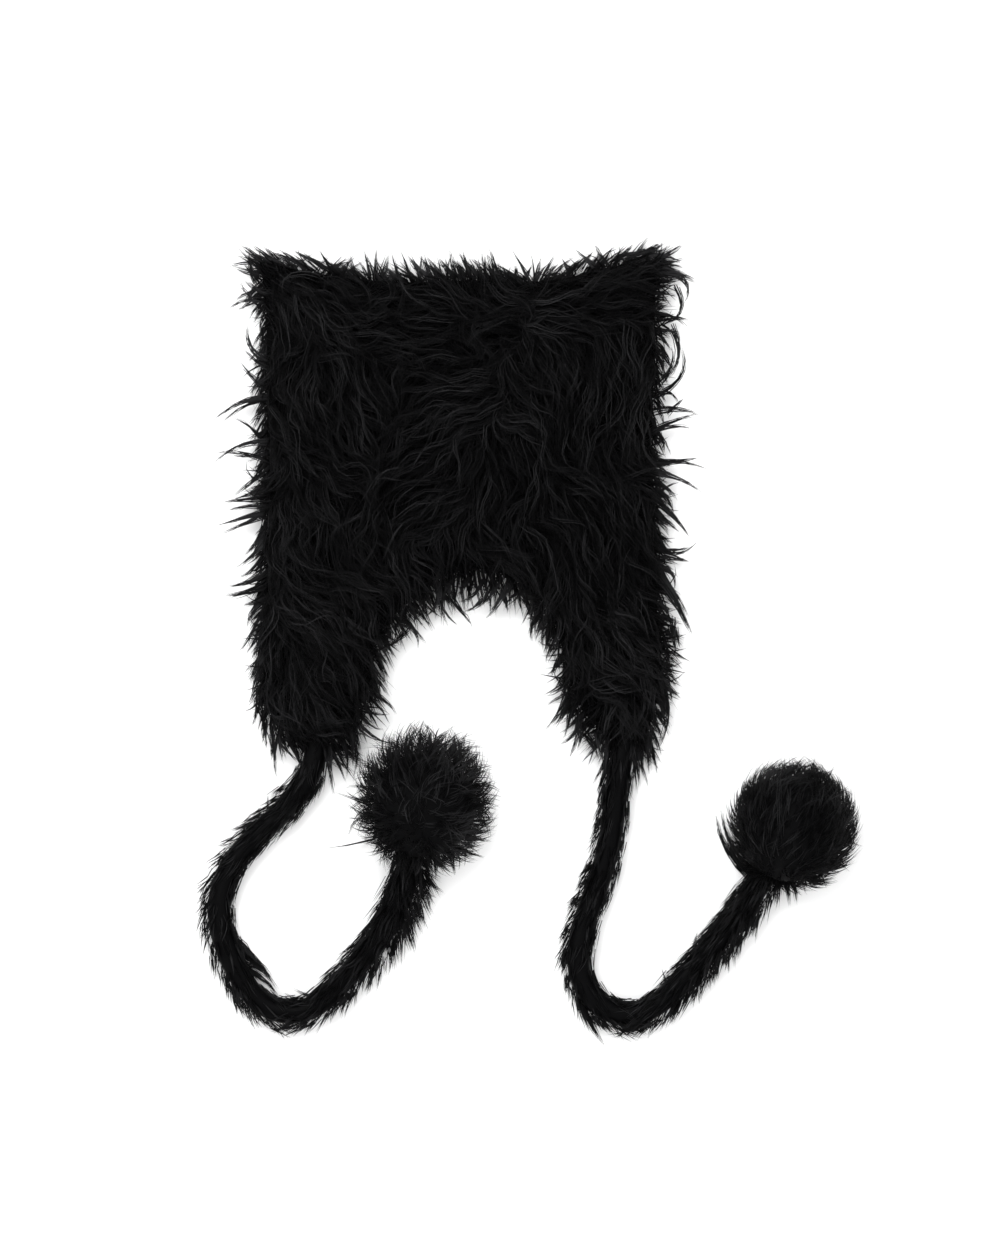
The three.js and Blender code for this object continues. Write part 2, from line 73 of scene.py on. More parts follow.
# Crown seams, as on the solid model: half width, top, bottom, sag of the top seam, rise of the rim
HALF_WIDTH = 144 * MM
CROWN_TOP = 181 * MM
CROWN_BOTTOM = 80 * MM
CROWN_LENGTH = CROWN_TOP + CROWN_BOTTOM
TOP_SAG = 16 * MM
ARCH_RISE = 32 * MM
ARCH_LEFT = 48 * MM
ARCH_RIGHT = 65 * MM
CLOTH = 3 * MM
EDGE_SLOPE = 20 * MM
PRESSED_PILE = 8 * MM
PRESSED_INSET = 7 * MM
PRESSED_TOP = PRESSED_PILE - 0.2 * MM
FLAP_PRESSED_TOP = PRESSED_PILE - 0.3 * MM
PRESSED_DEPTH = PRESSED_PILE - 1.2 * MM
CROWN_PAD_INSET = 0.6
FLAP_PAD_WIDTH = (0.06, 0.88)
FLAP_PAD_LENGTH = 0.96
SEWN_EDGE = 0.999
SEAM_GAP = 0.3 * MM
FLOOR_OF_HOLLOW = PRESSED_PILE + CLOTH
SEAM_HEIGHT = FLOOR_OF_HOLLOW + SEAM_GAP
HOLLOW_HEIGHT = 30 * MM
SIDE_ROUNDING = 2.4
SIDE_SWELL = 0.75
ALONG_STRETCH = 1.8
FLAP_DROP = 93 * MM

# Columns: up, left, right
SIDE_SEAMS = [
    (0.0, 1.01, 1.01),
    (0.25, 1.0, 1.0),
    (0.5, 1.0, 0.98),
    (0.75, 1.0, 1.0),
    (0.9, 1.01, 1.0),
    (1.0, 1.04, 1.03),
]
# Columns: across, sag
TOP_SEAM = [
    (-1.0, 0.0),
    (-0.8, 0.45),
    (-0.55, 0.8),
    (-0.25, 1.0),
    (0.1, 0.9),
    (0.42, 0.95),
    (0.65, 0.55),
    (0.82, 0.15),
    (1.0, 0.0),
]
# Columns: across, rise
RIM_ARCH = [(0.0, 0.0), (0.12, 0.35), (0.27, 0.75), (0.45, 1.0), (0.65, 0.95), (0.85, 0.6), (1.0, 0.0)]
# Columns: up, lift
FULLNESS = [(0.0, 0.72), (0.2, 0.88), (0.45, 1.0), (0.7, 0.86), (0.88, 0.5), (1.0, 0.0)]
# Columns: across, up, reach, depth
DENTS = [
    (-0.62, 0.86, 0.22, 0.16),
    (0.6, 0.88, 0.22, 0.14),
    (0.02, 0.94, 0.35, 0.12),
    (-0.35, 0.62, 0.25, 0.1),
    (0.3, 0.35, 0.3, 0.08),
]
# Columns: down, outer, narrow, lift. light scales the tones of a flap's pile
FLAPS = {
    "left": {
        "side": -1,
        "light": 1.15,
        "arch": ARCH_LEFT,
        "sections": [
            (0.0, 1.01, 0.0, 1.0),
            (0.22, 1.02, 0.16, 0.9),
            (0.46, 1.02, 0.18, 0.75),
            (0.7, 1.0, 0.26, 0.62),
            (0.86, 0.95, 0.34, 0.5),
            (1.0, 0.87, 0.45, 0.4),
        ],
    },
    "right": {
        "side": 1,
        "light": 1.4,
        "arch": ARCH_RIGHT,
        "sections": [
            (0.0, 1.01, 0.0, 1.0),
            (0.22, 1.03, 0.13, 0.9),
            (0.46, 1.03, 0.17, 0.75),
            (0.7, 1.01, 0.27, 0.62),
            (0.86, 0.98, 0.4, 0.5),
            (1.0, 0.95, 0.55, 0.4),
        ],
    },
}

# Ties: centre lines in millimetres, from the ear flap to the pompom
TIE_DIAMETER = 17 * MM
TIE_ROUTES = {
    "left": [
        (-106.5, -171.5, 10), (-107.5, -182, 10), (-110.5, -195, 10), (-117, -208, 10), (-126, -220.5, 10),
        (-137, -232, 10), (-149, -243, 10), (-160.5, -254.5, 10), (-170, -267, 10), (-176.5, -281, 10),
        (-179.5, -296.5, 10), (-178.8, -312, 10), (-175, -327, 10), (-169.5, -340, 10), (-162.7, -352.5, 10),
        (-154, -364.5, 10), (-142, -373.7, 10), (-127, -377, 10), (-112, -373.7, 10), (-99.7, -365, 10),
        (-88.6, -354, 10), (-77.5, -342, 10), (-66.5, -329, 10), (-56.5, -315, 10), (-48.5, -300.5, 10.5),
        (-42.5, -285, 12), (-38.5, -269, 15), (-34.8, -253, 18),
    ],
    "right": [
        (121, -171.5, 10), (120, -182, 10), (117.5, -197, 10), (115.5, -212, 10), (113.5, -227, 10),
        (111.5, -242, 10), (108.5, -257, 10), (104.5, -272, 10), (99.5, -287, 10), (94, -302, 10),
        (89.5, -317, 10), (87, -332, 10), (88, -346.5, 10), (93, -360, 10), (102.5, -371, 10),
        (116, -377.5, 10), (131, -377.5, 10), (145, -371, 10), (157.5, -360, 10), (170, -347, 10),
        (182.5, -333, 10), (194, -319, 10), (204.5, -305.5, 10.5), (214, -292, 12), (222.5, -279.5, 15),
        (230, -266.5, 18),
    ],
}
POMPOM_RADIUS = 35 * MM
POMPOM_SAG = 0.9
POMPOM_AHEAD = 0.9
POMPOM_SWELL = 4 * MM
POMPOM_HEAD = POMPOM_RADIUS + POMPOM_SWELL
POMPOM_LOWEST = 0.6 * MM
HEAD_BUMPS = 24
HEAD_BUMP_HEIGHT = 0.9 * MM
HEAD_BUMP_REACH = 0.12
ROUTE_STEPS = 12
CORE_POINTS = 60

# What is added to the seed, so that each piece draws its own numbers
FLAP_SEED = {"left": 11, "right": 12}
EDGE_SEED = 21
TIE_SEED = {"left": 41, "right": 42}
POMPOM_SEED = {"left": 51, "right": 52}
HEAD_SEED = {"left": 31, "right": 32}

# Smooth noise: how many waves, and the size and seed of each use of it
DRIFT_WAVES = 7
STRAY_DRIFT = (40 * MM, 3)
CURL_DRIFT = (34 * MM, 4)
PHASE_DRIFT = (60 * MM, 5)
SHADE_DRIFT = (34 * MM, 6)

# The long pile. A pair is a range that is drawn from evenly. Names that end in MM are in millimetres
FLOW_REACH = 7 * MM
ROOT_DEPTH = 1.5 * MM
LOWEST = 0.4 * MM
LOWEST_PILE = 1.0 * MM
LOCK_STEPS = 8
LOCK_KNOTS = 8
LOCK_LENGTHS = (0.75, 1.25)
LOCK_STANDS = (0.5, 1.4)
LOCK_REACH_MM = (5, 14)
LOCK_RADIUS = 4.2 * MM
LOCK_TIGHT = (0.2, 0.65)
STRAND_LENGTHS = (0.72, 1.0)
STRAND_THICK = (0.7, 1.15)
LAYER_MM = 3
STRAY_SHARED = 0.16
CURL_SHARED = 0.3
PHASE_SHARED = 0.5
PHASE_OWN = 0.35
SWINGS = (0.3, 1.0)
WAVES = (0.8, 1.3)
CURL_PIVOT = 0.4
WIGGLE_WAVES = (0.6, 1.5)
LOCK_TONES = (0, 0.8)
STRAND_TONE_SPREAD = 0.26
# Painted glints: a share of strands, chosen at random, is made lighter by BRIGHT_BY
BRIGHT_STRANDS = 0.1
BRIGHT_BY = 0.35
COAT_SHARE = 0.55
COAT_STRANDS = 3
COAT_RADIUS = 4 * MM
COAT_TIGHT = (0.4, 0.8)
COAT_RISE_MM = 2.5
COAT_THICK = (0.6, 0.85)
# Painted light: the upper coat's tones start from this one, so it is never quite dark
COAT_BASE_TONE = 0.4
UNDER_STRANDS = 3
UNDER_KNOTS = 4
UNDER_SPREAD = 3 * MM
UNDER_STRAY = 0.7
UNDER_BEND = 0.8
UNDER_LENGTH_MM = (16, 26)
UNDER_THICK = (1.4, 2.1)
# Painted shade: the short strands under the pile have dark tones
UNDER_TONES = (0, 0.35)
CROWN_FIELD = ((-0.155, -0.08), (0.155, 0.186))
FLAP_FIELD_ACROSS = (0.045, 0.152)
FLAP_FIELD_UP = (-0.174, -0.078)
FLAP_SPACING = 0.94
SEAM_MARGIN = 0.985
RIM_MARGIN = 0.004
FLAP_MARGIN = 0.015
FLAP_PILE_SIZE = 0.88

# The pile round the outline
OUTLINE_STEP = 1.5 * MM
OUTLINE_SMOOTHING = 6
OUTLINE_COUNTS = {"flap": 60, "side": 120, "top": 140, "arch": 80}
EDGE_ROOTS_MM = (-0.5, 8)
EDGE_LOCKS = 970
EDGE_STRANDS = 5
EDGE_RADIUS = 2.6 * MM
EDGE_LENGTH_MM = (18, 32)
EDGE_LEVEL_MM = (2, 14)
EDGE_OUTWARDS = (0.15, 0.3)
EDGE_THICK = (0.85, 1.4)
EDGE_TIGHT = (0.1, 0.5)
EDGE_STRAY = 0.3
EDGE_LEAVING = 0.6
LONGER_BELOW = 0.5
SHORTER_BESIDE = 0.35
EDGE_LOCK_KNOTS = 7
EDGE_KNOTS = 4
TUFT_EXTRA_STRANDS = 6
TUFT_KNOTS = 6
TUFT_RADIUS = 1.5 * MM
TUFT_RADIUS_EACH = 0.32
TUFT_TIGHT = 0.1
TUFT_POINTS = 15
TUFT_ROOT = 0.2
TUFT_LEVEL = 5 * MM
TUFT_THICK = (0.75, 1.15)
WISPS = 420
WISP_LEVEL_MM = (4, 15)
WISP_OUTWARDS = (0.1, 0.4)
WISP_THICK = (0.7, 1.2)
WISP_TONES = (0.3, 1)
WISP_KNOTS = 6
WISP_STRAY = 0.4
WISP_LENGTH_MM = 13
WISP_EXTRA_MM = 19

# The pile of the ties and pompoms
TIE_POINTS = 400
TIE_LOCKS = 734
TIE_STRANDS = 4
TIE_PILE_LENGTH = 19 * MM
TIE_LENGTH_SPREAD = (0.75, 1.15)
TIE_DEPTH_MM = (-0.4, 1.6)
TIE_STAND_MM = (0.3, 3.2)
TIE_FRINGE_MM = (1, 6.5)
SHORT_LOCK_POINTS = 7
SHORT_SPREAD = 1.4 * MM
SHORT_TIP_SPREAD = 0.8 * MM
SHORT_LENGTHS = (0.7, 1.0)
SHORT_THICK = (0.6, 1.0)
SHORT_LOCK_TONE = 0.75
SHORT_STRAND_TONE = (0.1, 0.15)
SHORT_TUFT_TIGHT = 0.15
TIE_HANG = 0.2
TIE_SPREAD = 0.3
TIE_STRAY = 0.14
TIE_CURL = 0.22
TIE_SHAPE = {"each": TIE_STRANDS, "knots": 4, "gather": 0.5, "thickness": 1.05}
TIE_FLARE = {"left": 1.1, "right": 0.5}
POMPOM_LOCKS = 1000
POMPOM_STRANDS = 3
POMPOM_SHAPE = {"each": POMPOM_STRANDS, "knots": 5, "gather": 0.2, "thickness": 0.95}
POMPOM_CURL = 0.12
POMPOM_BEND_RADIUS = POMPOM_RADIUS + 8 * MM
POMPOM_ROOTS_MM = (-2, 2)
POMPOM_REACHES = (0.6, 1.15)
POMPOM_TRAVELS = (0.7, 1.25)
POMPOM_REACH = {"left": 17 * MM, "right": 11.5 * MM}
POMPOM_CREST = {"left": 8 * MM, "right": 2 * MM}
POMPOM_TRAVEL = {"left": 14 * MM, "right": 19 * MM}
POMPOM_STRAY = {"left": 0.4, "right": 0.18}
POMPOM_LIGHT = {"left": 1.25, "right": 1.0}
# How far from the tie's entry a pompom's pile has painted shade
POMPOM_SHADE = {"left": 25 * MM, "right": 45 * MM}
POMPOM_PATCHES = 0.35
POMPOM_ENTRY = {"left": (407, 825), "right": (770, 882)}
POMPOM_ENTRY_RISE = {"left": 17 * MM, "right": -5 * MM}
POMPOM_ENTRY_REACH = 24 * MM

# The way the pile is combed, charted. Columns: place in the photograph's pixels, x and y, and the
# heading of the tips in degrees from +X to +Y
FLOW = [
    (262, 262, 165), (300, 264, 152), (290, 290, -45), (318, 318, -42), (330, 290, -52), (352, 302, -22),
    (385, 308, 2), (290, 320, -70), (272, 325, -55), (262, 292, -22), (350, 284, 150), (400, 288, 146),
    (440, 288, 124), (472, 282, 120), (425, 312, 185), (290, 348, 202), (345, 340, -34), (385, 342, 4),
    (430, 360, 178), (312, 385, -84), (355, 390, -88), (366, 380, -80), (278, 405, -64), (298, 432, -50),
    (315, 428, -50), (350, 430, -66), (378, 410, -48), (410, 428, 208), (430, 445, 214), (285, 450, -28),
    (325, 465, -32), (355, 475, -8), (297, 474, -74), (340, 490, -38), (375, 492, -92), (430, 490, 196),
    (400, 470, 206), (264, 372, -120), (262, 440, 205), (262, 480, 212), (262, 500, 182), (264, 345, -98),
    (490, 290, 118), (515, 302, 182), (560, 308, 9), (620, 303, 1), (570, 285, 20), (600, 268, 27),
    (632, 261, 14), (560, 275, 34), (660, 284, -4), (652, 306, -5), (656, 360, -101), (600, 360, -81),
    (625, 365, -93), (640, 370, -96), (570, 372, -84), (562, 392, -76), (550, 350, -70), (525, 380, -36),
    (475, 345, -36), (475, 372, 176), (520, 420, -30), (510, 455, -56), (526, 447, -76), (450, 436, 210),
    (460, 462, -97), (572, 425, -96), (584, 400, -103), (602, 440, 214), (640, 470, -6), (565, 482, -20),
    (545, 490, -102), (600, 487, -34), (655, 490, -50), (650, 430, -82), (658, 400, -96), (620, 410, -88),
    (590, 460, -60), (480, 400, 186), (440, 400, 192), (545, 320, 4), (595, 325, -20), (500, 330, 176),
    (270, 540, -93), (300, 535, -88), (338, 550, -97), (352, 518, 226), (380, 550, -64), (415, 535, 206),
    (396, 556, -100), (422, 562, -58), (392, 582, -32), (318, 574, -52), (350, 581, -6), (370, 596, -50),
    (390, 606, -62), (373, 618, -80), (312, 594, -16), (290, 618, -30), (318, 642, -45), (350, 641, -40),
    (361, 665, -78), (274, 650, -91), (278, 682, -100), (318, 690, -50), (346, 712, -62), (302, 705, -95),
    (288, 724, -42), (315, 738, -12), (330, 745, -60), (470, 530, -104), (520, 510, 215), (548, 525, -35),
    (575, 530, -60), (590, 540, -72), (490, 554, -22), (522, 542, -52), (542, 562, -90), (562, 572, -95),
    (552, 605, -108), (575, 600, -95), (563, 642, -95), (592, 596, -42), (614, 590, -88), (630, 622, -42),
    (645, 610, -35), (665, 595, -46), (652, 660, -52), (598, 650, -68), (620, 662, -46), (640, 647, -30),
    (577, 680, -108), (562, 695, -120), (612, 688, -4), (585, 710, 218), (598, 732, 228), (652, 720, -80),
    (636, 722, -66), (612, 742, -102), (640, 752, -84), (450, 575, -92), (485, 575, -100), (520, 580, -60),
    (620, 545, -86), (648, 540, -60), (640, 515, -55), (610, 515, -70), (430, 590, -75), (500, 520, -95),
    (265, 590, -100), (262, 620, -115), (440, 515, 200), (320, 510, -60), (300, 570, -60),
]

# Locks that stand out from the outline, charted. Columns: root and tip in the photograph's pixels,
# how far the middle bows to the left of the way to the tip as a share of its length, and strands
TUFTS = [
    (256, 278, 250, 251, 0.1, 7), (262, 275, 246, 264, 0.1, 6), (266, 290, 247, 280, 0.1, 5),
    (258, 303, 230, 310, -0.15, 4), (256, 300, 241, 281, 0.1, 2), (266, 356, 251, 326, 0.2, 6),
    (267, 366, 246, 350, 0.05, 4), (266, 386, 242, 361, 0.08, 8), (264, 400, 219, 419, -0.1, 6),
    (263, 403, 227, 421, -0.1, 4), (266, 395, 240, 402, 0, 6), (260, 442, 234, 420, -0.1, 4),
    (264, 445, 219, 463, -0.12, 6), (264, 450, 235, 453, 0.1, 4), (263, 463, 218, 456, -0.1, 4),
    (264, 466, 235, 492, 0.05, 7), (264, 485, 235, 497, 0.05, 6), (264, 498, 226, 501, 0, 9),
    (264, 507, 231, 510, -0.05, 8), (262, 512, 221, 524, 0, 5), (260, 517, 223, 532, 0, 6),
    (263, 524, 246, 550, 0.08, 6), (262, 532, 248, 551, 0.05, 5), (263, 542, 238, 565, 0.05, 6),
    (261, 546, 253, 557, 0.1, 4), (261, 560, 240, 575, 0.08, 8), (264, 572, 228, 583, 0.1, 10),
    (264, 582, 226, 592, 0.1, 10), (261, 588, 231, 597, 0, 7), (264, 596, 245, 604, 0.05, 7),
    (262, 605, 248, 626, -0.1, 5), (262, 612, 241, 647, 0.03, 5), (261, 626, 247, 650, 0.03, 7),
    (261, 636, 252, 655, 0.05, 6), (262, 645, 248, 677, 0.05, 6), (263, 655, 250, 677, 0.05, 6),
    (262, 670, 252, 697, -0.05, 6), (258, 690, 252, 722, 0.05, 7), (260, 712, 260, 740, 0.1, 7),
    (265, 725, 265, 746, 0, 6), (270, 735, 270, 759, 0.05, 7), (276, 742, 276, 773, -0.05, 4),
    (279, 738, 281, 757, 0, 5), (281, 742, 297, 760, -0.05, 3), (287, 740, 296, 757, 0.05, 3),
    (330, 718, 347, 772, 0.2, 11), (322, 740, 341, 776, 0.05, 10), (327, 750, 332, 789, 0, 8),
    (337, 738, 343, 774, 0.12, 4), (349, 718, 358, 748, 0.05, 8), (345, 722, 350, 762, 0.08, 6),
    (356, 714, 389, 739, -0.15, 9), (357, 705, 384, 713, -0.1, 7), (362, 716, 380, 728, -0.1, 4),
    (371, 694, 393, 714, 0.1, 5), (373, 668, 387, 692, -0.05, 8), (370, 676, 380, 696, 0, 6),
    (377, 640, 386, 658, 0.05, 6), (376, 650, 383, 668, 0, 6), (402, 634, 386, 646, 0.08, 6),
    (400, 626, 414, 649, 0.25, 7), (402, 616, 421, 639, 0.03, 9), (408, 608, 420, 624, 0.05, 5),
    (411, 588, 423, 613, 0.1, 5), (436, 588, 423, 613, 0.2, 4), (425, 592, 430, 606, 0.1, 5),
    (441, 584, 460, 622, -0.15, 5), (456, 583, 452, 622, -0.22, 5), (454, 602, 471, 624, 0, 3),
    (447, 586, 449, 601, 0.1, 5), (484, 588, 460, 608, 0.2, 6), (480, 582, 459, 599, 0.15, 6),
    (466, 582, 456, 594, 0.1, 5), (496, 582, 481, 603, 0.1, 5), (507, 586, 488, 614, 0.05, 8),
    (502, 590, 490, 608, 0.1, 5), (502, 596, 506, 611, 0.1, 5), (526, 596, 508, 610, -0.25, 3),
    (530, 598, 533, 611, 0.1, 5), (541, 610, 528, 618, 0.1, 6), (534, 604, 527, 614, 0.1, 4),
    (542, 614, 534, 638, -0.15, 5), (545, 618, 537, 638, -0.05, 4), (548, 630, 545, 652, 0, 6),
    (549, 618, 545, 648, -0.1, 4), (556, 640, 548, 660, -0.1, 5), (558, 662, 549, 674, 0.05, 5),
    (569, 692, 547, 727, 0.05, 12), (568, 700, 555, 723, 0.05, 7), (573, 706, 565, 736, 0, 6),
    (577, 722, 560, 742, 0.15, 5), (579, 715, 569, 755, 0.05, 8), (584, 724, 579, 746, 0, 6),
    (602, 726, 585, 741, 0.05, 8), (587, 739, 597, 761, 0.1, 4), (597, 735, 602, 759, 0, 7),
    (571, 712, 567, 728, 0, 5), (670, 596, 688, 628, 0.03, 9), (672, 626, 676, 651, 0, 9),
    (676, 630, 680, 645, 0, 3), (664, 646, 669, 663, 0.05, 6), (663, 672, 671, 699, 0.05, 9),
    (659, 684, 666, 708, 0.03, 8), (657, 688, 654, 745, 0.14, 10), (660, 700, 667, 729, 0, 2),
    (649, 738, 650, 769, 0, 7), (641, 744, 643, 771, 0, 6), (652, 248, 660, 244, 0.1, 4),
    (652, 254, 679, 261, 0.05, 6), (652, 261, 683, 272, 0, 6), (660, 269, 692, 280, 0.03, 8),
    (662, 272, 692, 278, 0.08, 4), (670, 277, 681, 301, 0.35, 5), (675, 290, 664, 318, 0.3, 4),
    (654, 315, 684, 326, 0.12, 5), (668, 321, 687, 320, 0.1, 3), (660, 331, 678, 333, 0.05, 4),
    (671, 334, 663, 374, 0.2, 7), (664, 386, 679, 352, -0.22, 5), (661, 378, 670, 350, -0.15, 4),
    (658, 398, 676, 405, 0.35, 4), (660, 412, 695, 415, 0.1, 8), (655, 431, 694, 416, 0.05, 6),
    (656, 432, 687, 429, 0.1, 4), (671, 410, 683, 399, 0, 3), (656, 436, 662, 451, 0.2, 4),
    (654, 462, 696, 457, -0.03, 8), (657, 466, 704, 471, 0.1, 5), (653, 474, 696, 491, 0.08, 9),
    (658, 468, 672, 474, 0, 6), (656, 481, 675, 498, 0.05, 5), (660, 495, 677, 484, 0.1, 2),
    (654, 491, 671, 513, 0.15, 8), (655, 502, 685, 532, 0.05, 12), (656, 512, 678, 530, 0, 8),
    (656, 526, 696, 532, -0.42, 7), (664, 549, 688, 547, -0.05, 5), (664, 555, 688, 561, 0, 8),
    (661, 571, 671, 589, 0.3, 4), (658, 575, 688, 628, 0.03, 13), (664, 580, 685, 612, 0.03, 9),
    (660, 598, 675, 629, 0, 9), (305, 267, 280, 249, 0, 7), (295, 262, 272, 251, 0, 6),
    (316, 264, 296, 251, 0, 8), (325, 267, 304, 253, 0, 7), (335, 271, 320, 251, 0, 6),
    (353, 274, 341, 264, 0, 7), (366, 277, 350, 264, 0, 6), (340, 271, 330, 262, 0, 5),
    (401, 279, 386, 267, 0.05, 6), (413, 278, 394, 269, 0.05, 6), (424, 276, 410, 260, 0, 6),
    (428, 277, 414, 262, 0, 8), (441, 276, 426, 263, 0, 6), (451, 275, 440, 259, 0, 9),
    (463, 273, 453, 260, 0, 7), (466, 274, 457, 262, 0, 6), (482, 277, 474, 266, 0, 6),
    (483, 277, 479, 267, 0, 4), (506, 282, 493, 269, 0, 7), (514, 280, 500, 268, 0, 6),
    (521, 280, 503, 268, 0, 6), (517, 277, 515, 265, 0, 4), (531, 280, 514, 252, 0, 5),
    (526, 276, 532, 265, 0, 3), (534, 278, 546, 265, 0, 5), (545, 275, 557, 264, 0, 5),
    (570, 268, 563, 257, 0.1, 6), (571, 270, 584, 258, 0, 7), (595, 266, 577, 250, 0, 6),
    (581, 265, 592, 252, 0, 7), (606, 264, 596, 246, 0, 6), (604, 262, 612, 248, 0, 4),
    (616, 258, 631, 245, -0.05, 7), (625, 256, 645, 246, -0.05, 8), (634, 254, 659, 244, -0.05, 8),
    (645, 252, 664, 249, 0, 6),
]
# The same for the ties and the pompoms
TIE_TUFTS = {
    "left": [
        (271, 822, 268, 797, 0.05, 4), (266, 826, 258, 808, 0.05, 3), (236, 944, 258, 968, 0.08, 11),
        (240, 953, 266, 977, 0.08, 14), (243, 962, 271, 986, 0.1, 14), (246, 974, 273, 996, 0.12, 10),
        (322, 1000, 289, 994, 0.15, 12), (334, 994, 296, 987, 0.15, 10), (402, 882, 438, 893, 0.12, 12),
        (408, 872, 436, 881, 0.1, 8), (404, 892, 432, 898, 0.05, 8), (400, 904, 424, 909, 0.05, 6),
        (412, 866, 430, 868, 0.1, 5), (396, 915, 415, 925, 0.05, 6), (300, 770, 296, 790, 0.0, 4),
    ],
    "right": [
        (605, 748, 600, 785, 0.05, 9), (612, 750, 596, 780, 0.0, 7), (632, 750, 638, 782, 0.05, 9),
        (626, 752, 632, 788, 0.0, 7), (696, 968, 698, 938, 0.05, 11), (704, 958, 704, 934, 0.05, 7),
        (672, 990, 664, 972, 0.05, 5), (684, 982, 677, 966, 0.05, 5), (714, 944, 711, 926, 0.05, 5),
        (724, 932, 722, 914, 0.05, 5), (583, 1005, 603, 1042, -0.05, 11), (580, 998, 590, 1030, -0.05, 6),
        (588, 972, 608, 1001, -0.1, 9), (592, 965, 604, 990, -0.1, 6), (735, 908, 745, 895, 0.1, 5),
    ],
}
POMPOM_TUFTS = {
    "left": [
        (384, 790, 357, 785, 0.05, 9), (384, 797, 359, 799, 0.05, 8), (388, 776, 366, 766, 0.05, 8),
        (392, 825, 342, 799, -0.08, 7), (388, 822, 350, 806, 0.05, 4), (382, 818, 353, 838, -0.25, 5),
        (370, 838, 327, 846, 0.05, 3), (455, 770, 454, 736, 0.0, 8), (458, 755, 469, 734, 0.1, 3),
        (430, 765, 429, 733, 0.0, 7), (412, 768, 405, 738, 0.0, 7), (460, 850, 480, 857, 0.0, 7),
        (450, 852, 454, 872, 0.0, 7), (436, 856, 436, 878, 0.0, 7), (462, 790, 490, 782, 0.0, 7),
        (462, 815, 490, 818, 0.0, 7), (462, 835, 487, 842, 0.0, 7), (442, 765, 446, 738, 0.0, 6),
        (398, 770, 386, 748, 0.0, 7), (388, 812, 366, 818, 0.0, 6), (458, 772, 478, 754, 0.0, 7),
    ],
    "right": [
        (748, 868, 722, 820, 0.12, 14), (750, 862, 727, 814, 0.12, 12), (752, 872, 731, 838, 0.1, 12),
        (786, 872, 790, 902, 0.0, 12), (792, 872, 797, 900, 0.0, 10), (828, 845, 858, 848, 0.1, 6),
        (828, 832, 856, 826, 0.1, 6), (820, 795, 834, 768, 0.0, 7), (808, 790, 815, 762, 0.0, 7),
        (790, 788, 791, 762, 0.0, 7), (772, 792, 765, 768, 0.0, 7), (758, 802, 746, 784, 0.0, 7),
        (826, 808, 846, 790, 0.0, 7), (828, 820, 852, 808, 0.0, 6), (826, 858, 846, 870, 0.05, 7),
        (815, 866, 826, 886, 0.05, 7), (800, 870, 806, 892, 0.0, 7), (754, 830, 732, 826, 0.0, 6),
    ],
}


# Small sums that the pieces share


def read_table(rows, column, at):
    """A table's column at any key, by a smooth curve through every row. The key is the first column."""
    table = np.asarray(rows, float)
    key, value = table[:, 0], table[:, column]
    last = len(key) - 1
    low = np.maximum(np.arange(last + 1) - 1, 0)
    high = np.minimum(np.arange(last + 1) + 1, last)
    slope = (value[high] - value[low]) / (key[high] - key[low])
    at = np.asarray(at, float)
    i = np.clip(np.searchsorted(key, at) - 1, 0, last - 1)
    span = key[i + 1] - key[i]
    t = np.clip((at - key[i]) / span, 0, 1)
    ease = t * t * (3 - 2 * t)
    bend = slope[i] * t * (1 - t) ** 2 - slope[i + 1] * t * t * (1 - t)
    return value[i] * (1 - ease) + value[i + 1] * ease + span * bend


def side_x(across, up):
    left = read_table(SIDE_SEAMS, 1, up)
    right = read_table(SIDE_SEAMS, 2, up)
    return across * HALF_WIDTH * np.where(across < 0, left, right)


def rim_y(across):
    share = (across * HALF_WIDTH + ARCH_LEFT) / (ARCH_LEFT + ARCH_RIGHT)
    rise = read_table(RIM_ARCH, 1, np.clip(share, 0, 1))
    return -CROWN_BOTTOM + ARCH_RISE * np.where((share > 0) & (share < 1), rise, 0)


def top_y(across):
    return CROWN_TOP - TOP_SAG * read_table(TOP_SEAM, 1, across)


def crown_xy(across, up):
    rim = rim_y(across)
    return side_x(across, up), rim + (top_y(across) - rim) * up


def fullness(across, up):
    """How high the crown's upper panel stands off the lower one."""
    rounded = np.maximum(0, 1 - np.abs(across) ** SIDE_ROUNDING) ** SIDE_SWELL
    lift = rounded * np.maximum(0, read_table(FULLNESS, 1, up))
    for at_across, at_up, reach, depth in DENTS:
        far = ((across - at_across) ** 2 + (ALONG_STRETCH * (up - at_up)) ** 2) / reach**2
        lift = lift - rounded * np.minimum(lift, depth) * np.exp(-far)
    return HOLLOW_HEIGHT * lift


def crown_place(x, y):
    """across and up of a place on the crown, or beside it."""
    up = (y + CROWN_BOTTOM) / CROWN_LENGTH
    across = x / HALF_WIDTH
    for _ in range(3):
        edge = np.abs(side_x(np.sign(across) + (across == 0), np.clip(up, 0, 1)))
        across = x / edge
        inside = np.clip(across, -1, 1)
        rim = rim_y(inside)
        up = (y - rim) / (top_y(inside) - rim)
    return across, up


def flap_edges(flap, down):
    """Places across of a flap's inner and outer edge."""
    outer = flap["side"] * HALF_WIDTH * read_table(flap["sections"], 1, down)
    narrow = read_table(flap["sections"], 2, down)
    inner = flap["side"] * (flap["arch"] + (HALF_WIDTH - flap["arch"]) * narrow)
    return inner, outer


def flap_lift(flap, x, down):
    outer = flap_edges(flap, down)[1]
    lift = np.maximum(0, read_table(flap["sections"], 3, down))
    return fullness(np.clip(x / np.abs(outer), -1, 1), np.zeros_like(x)) * lift


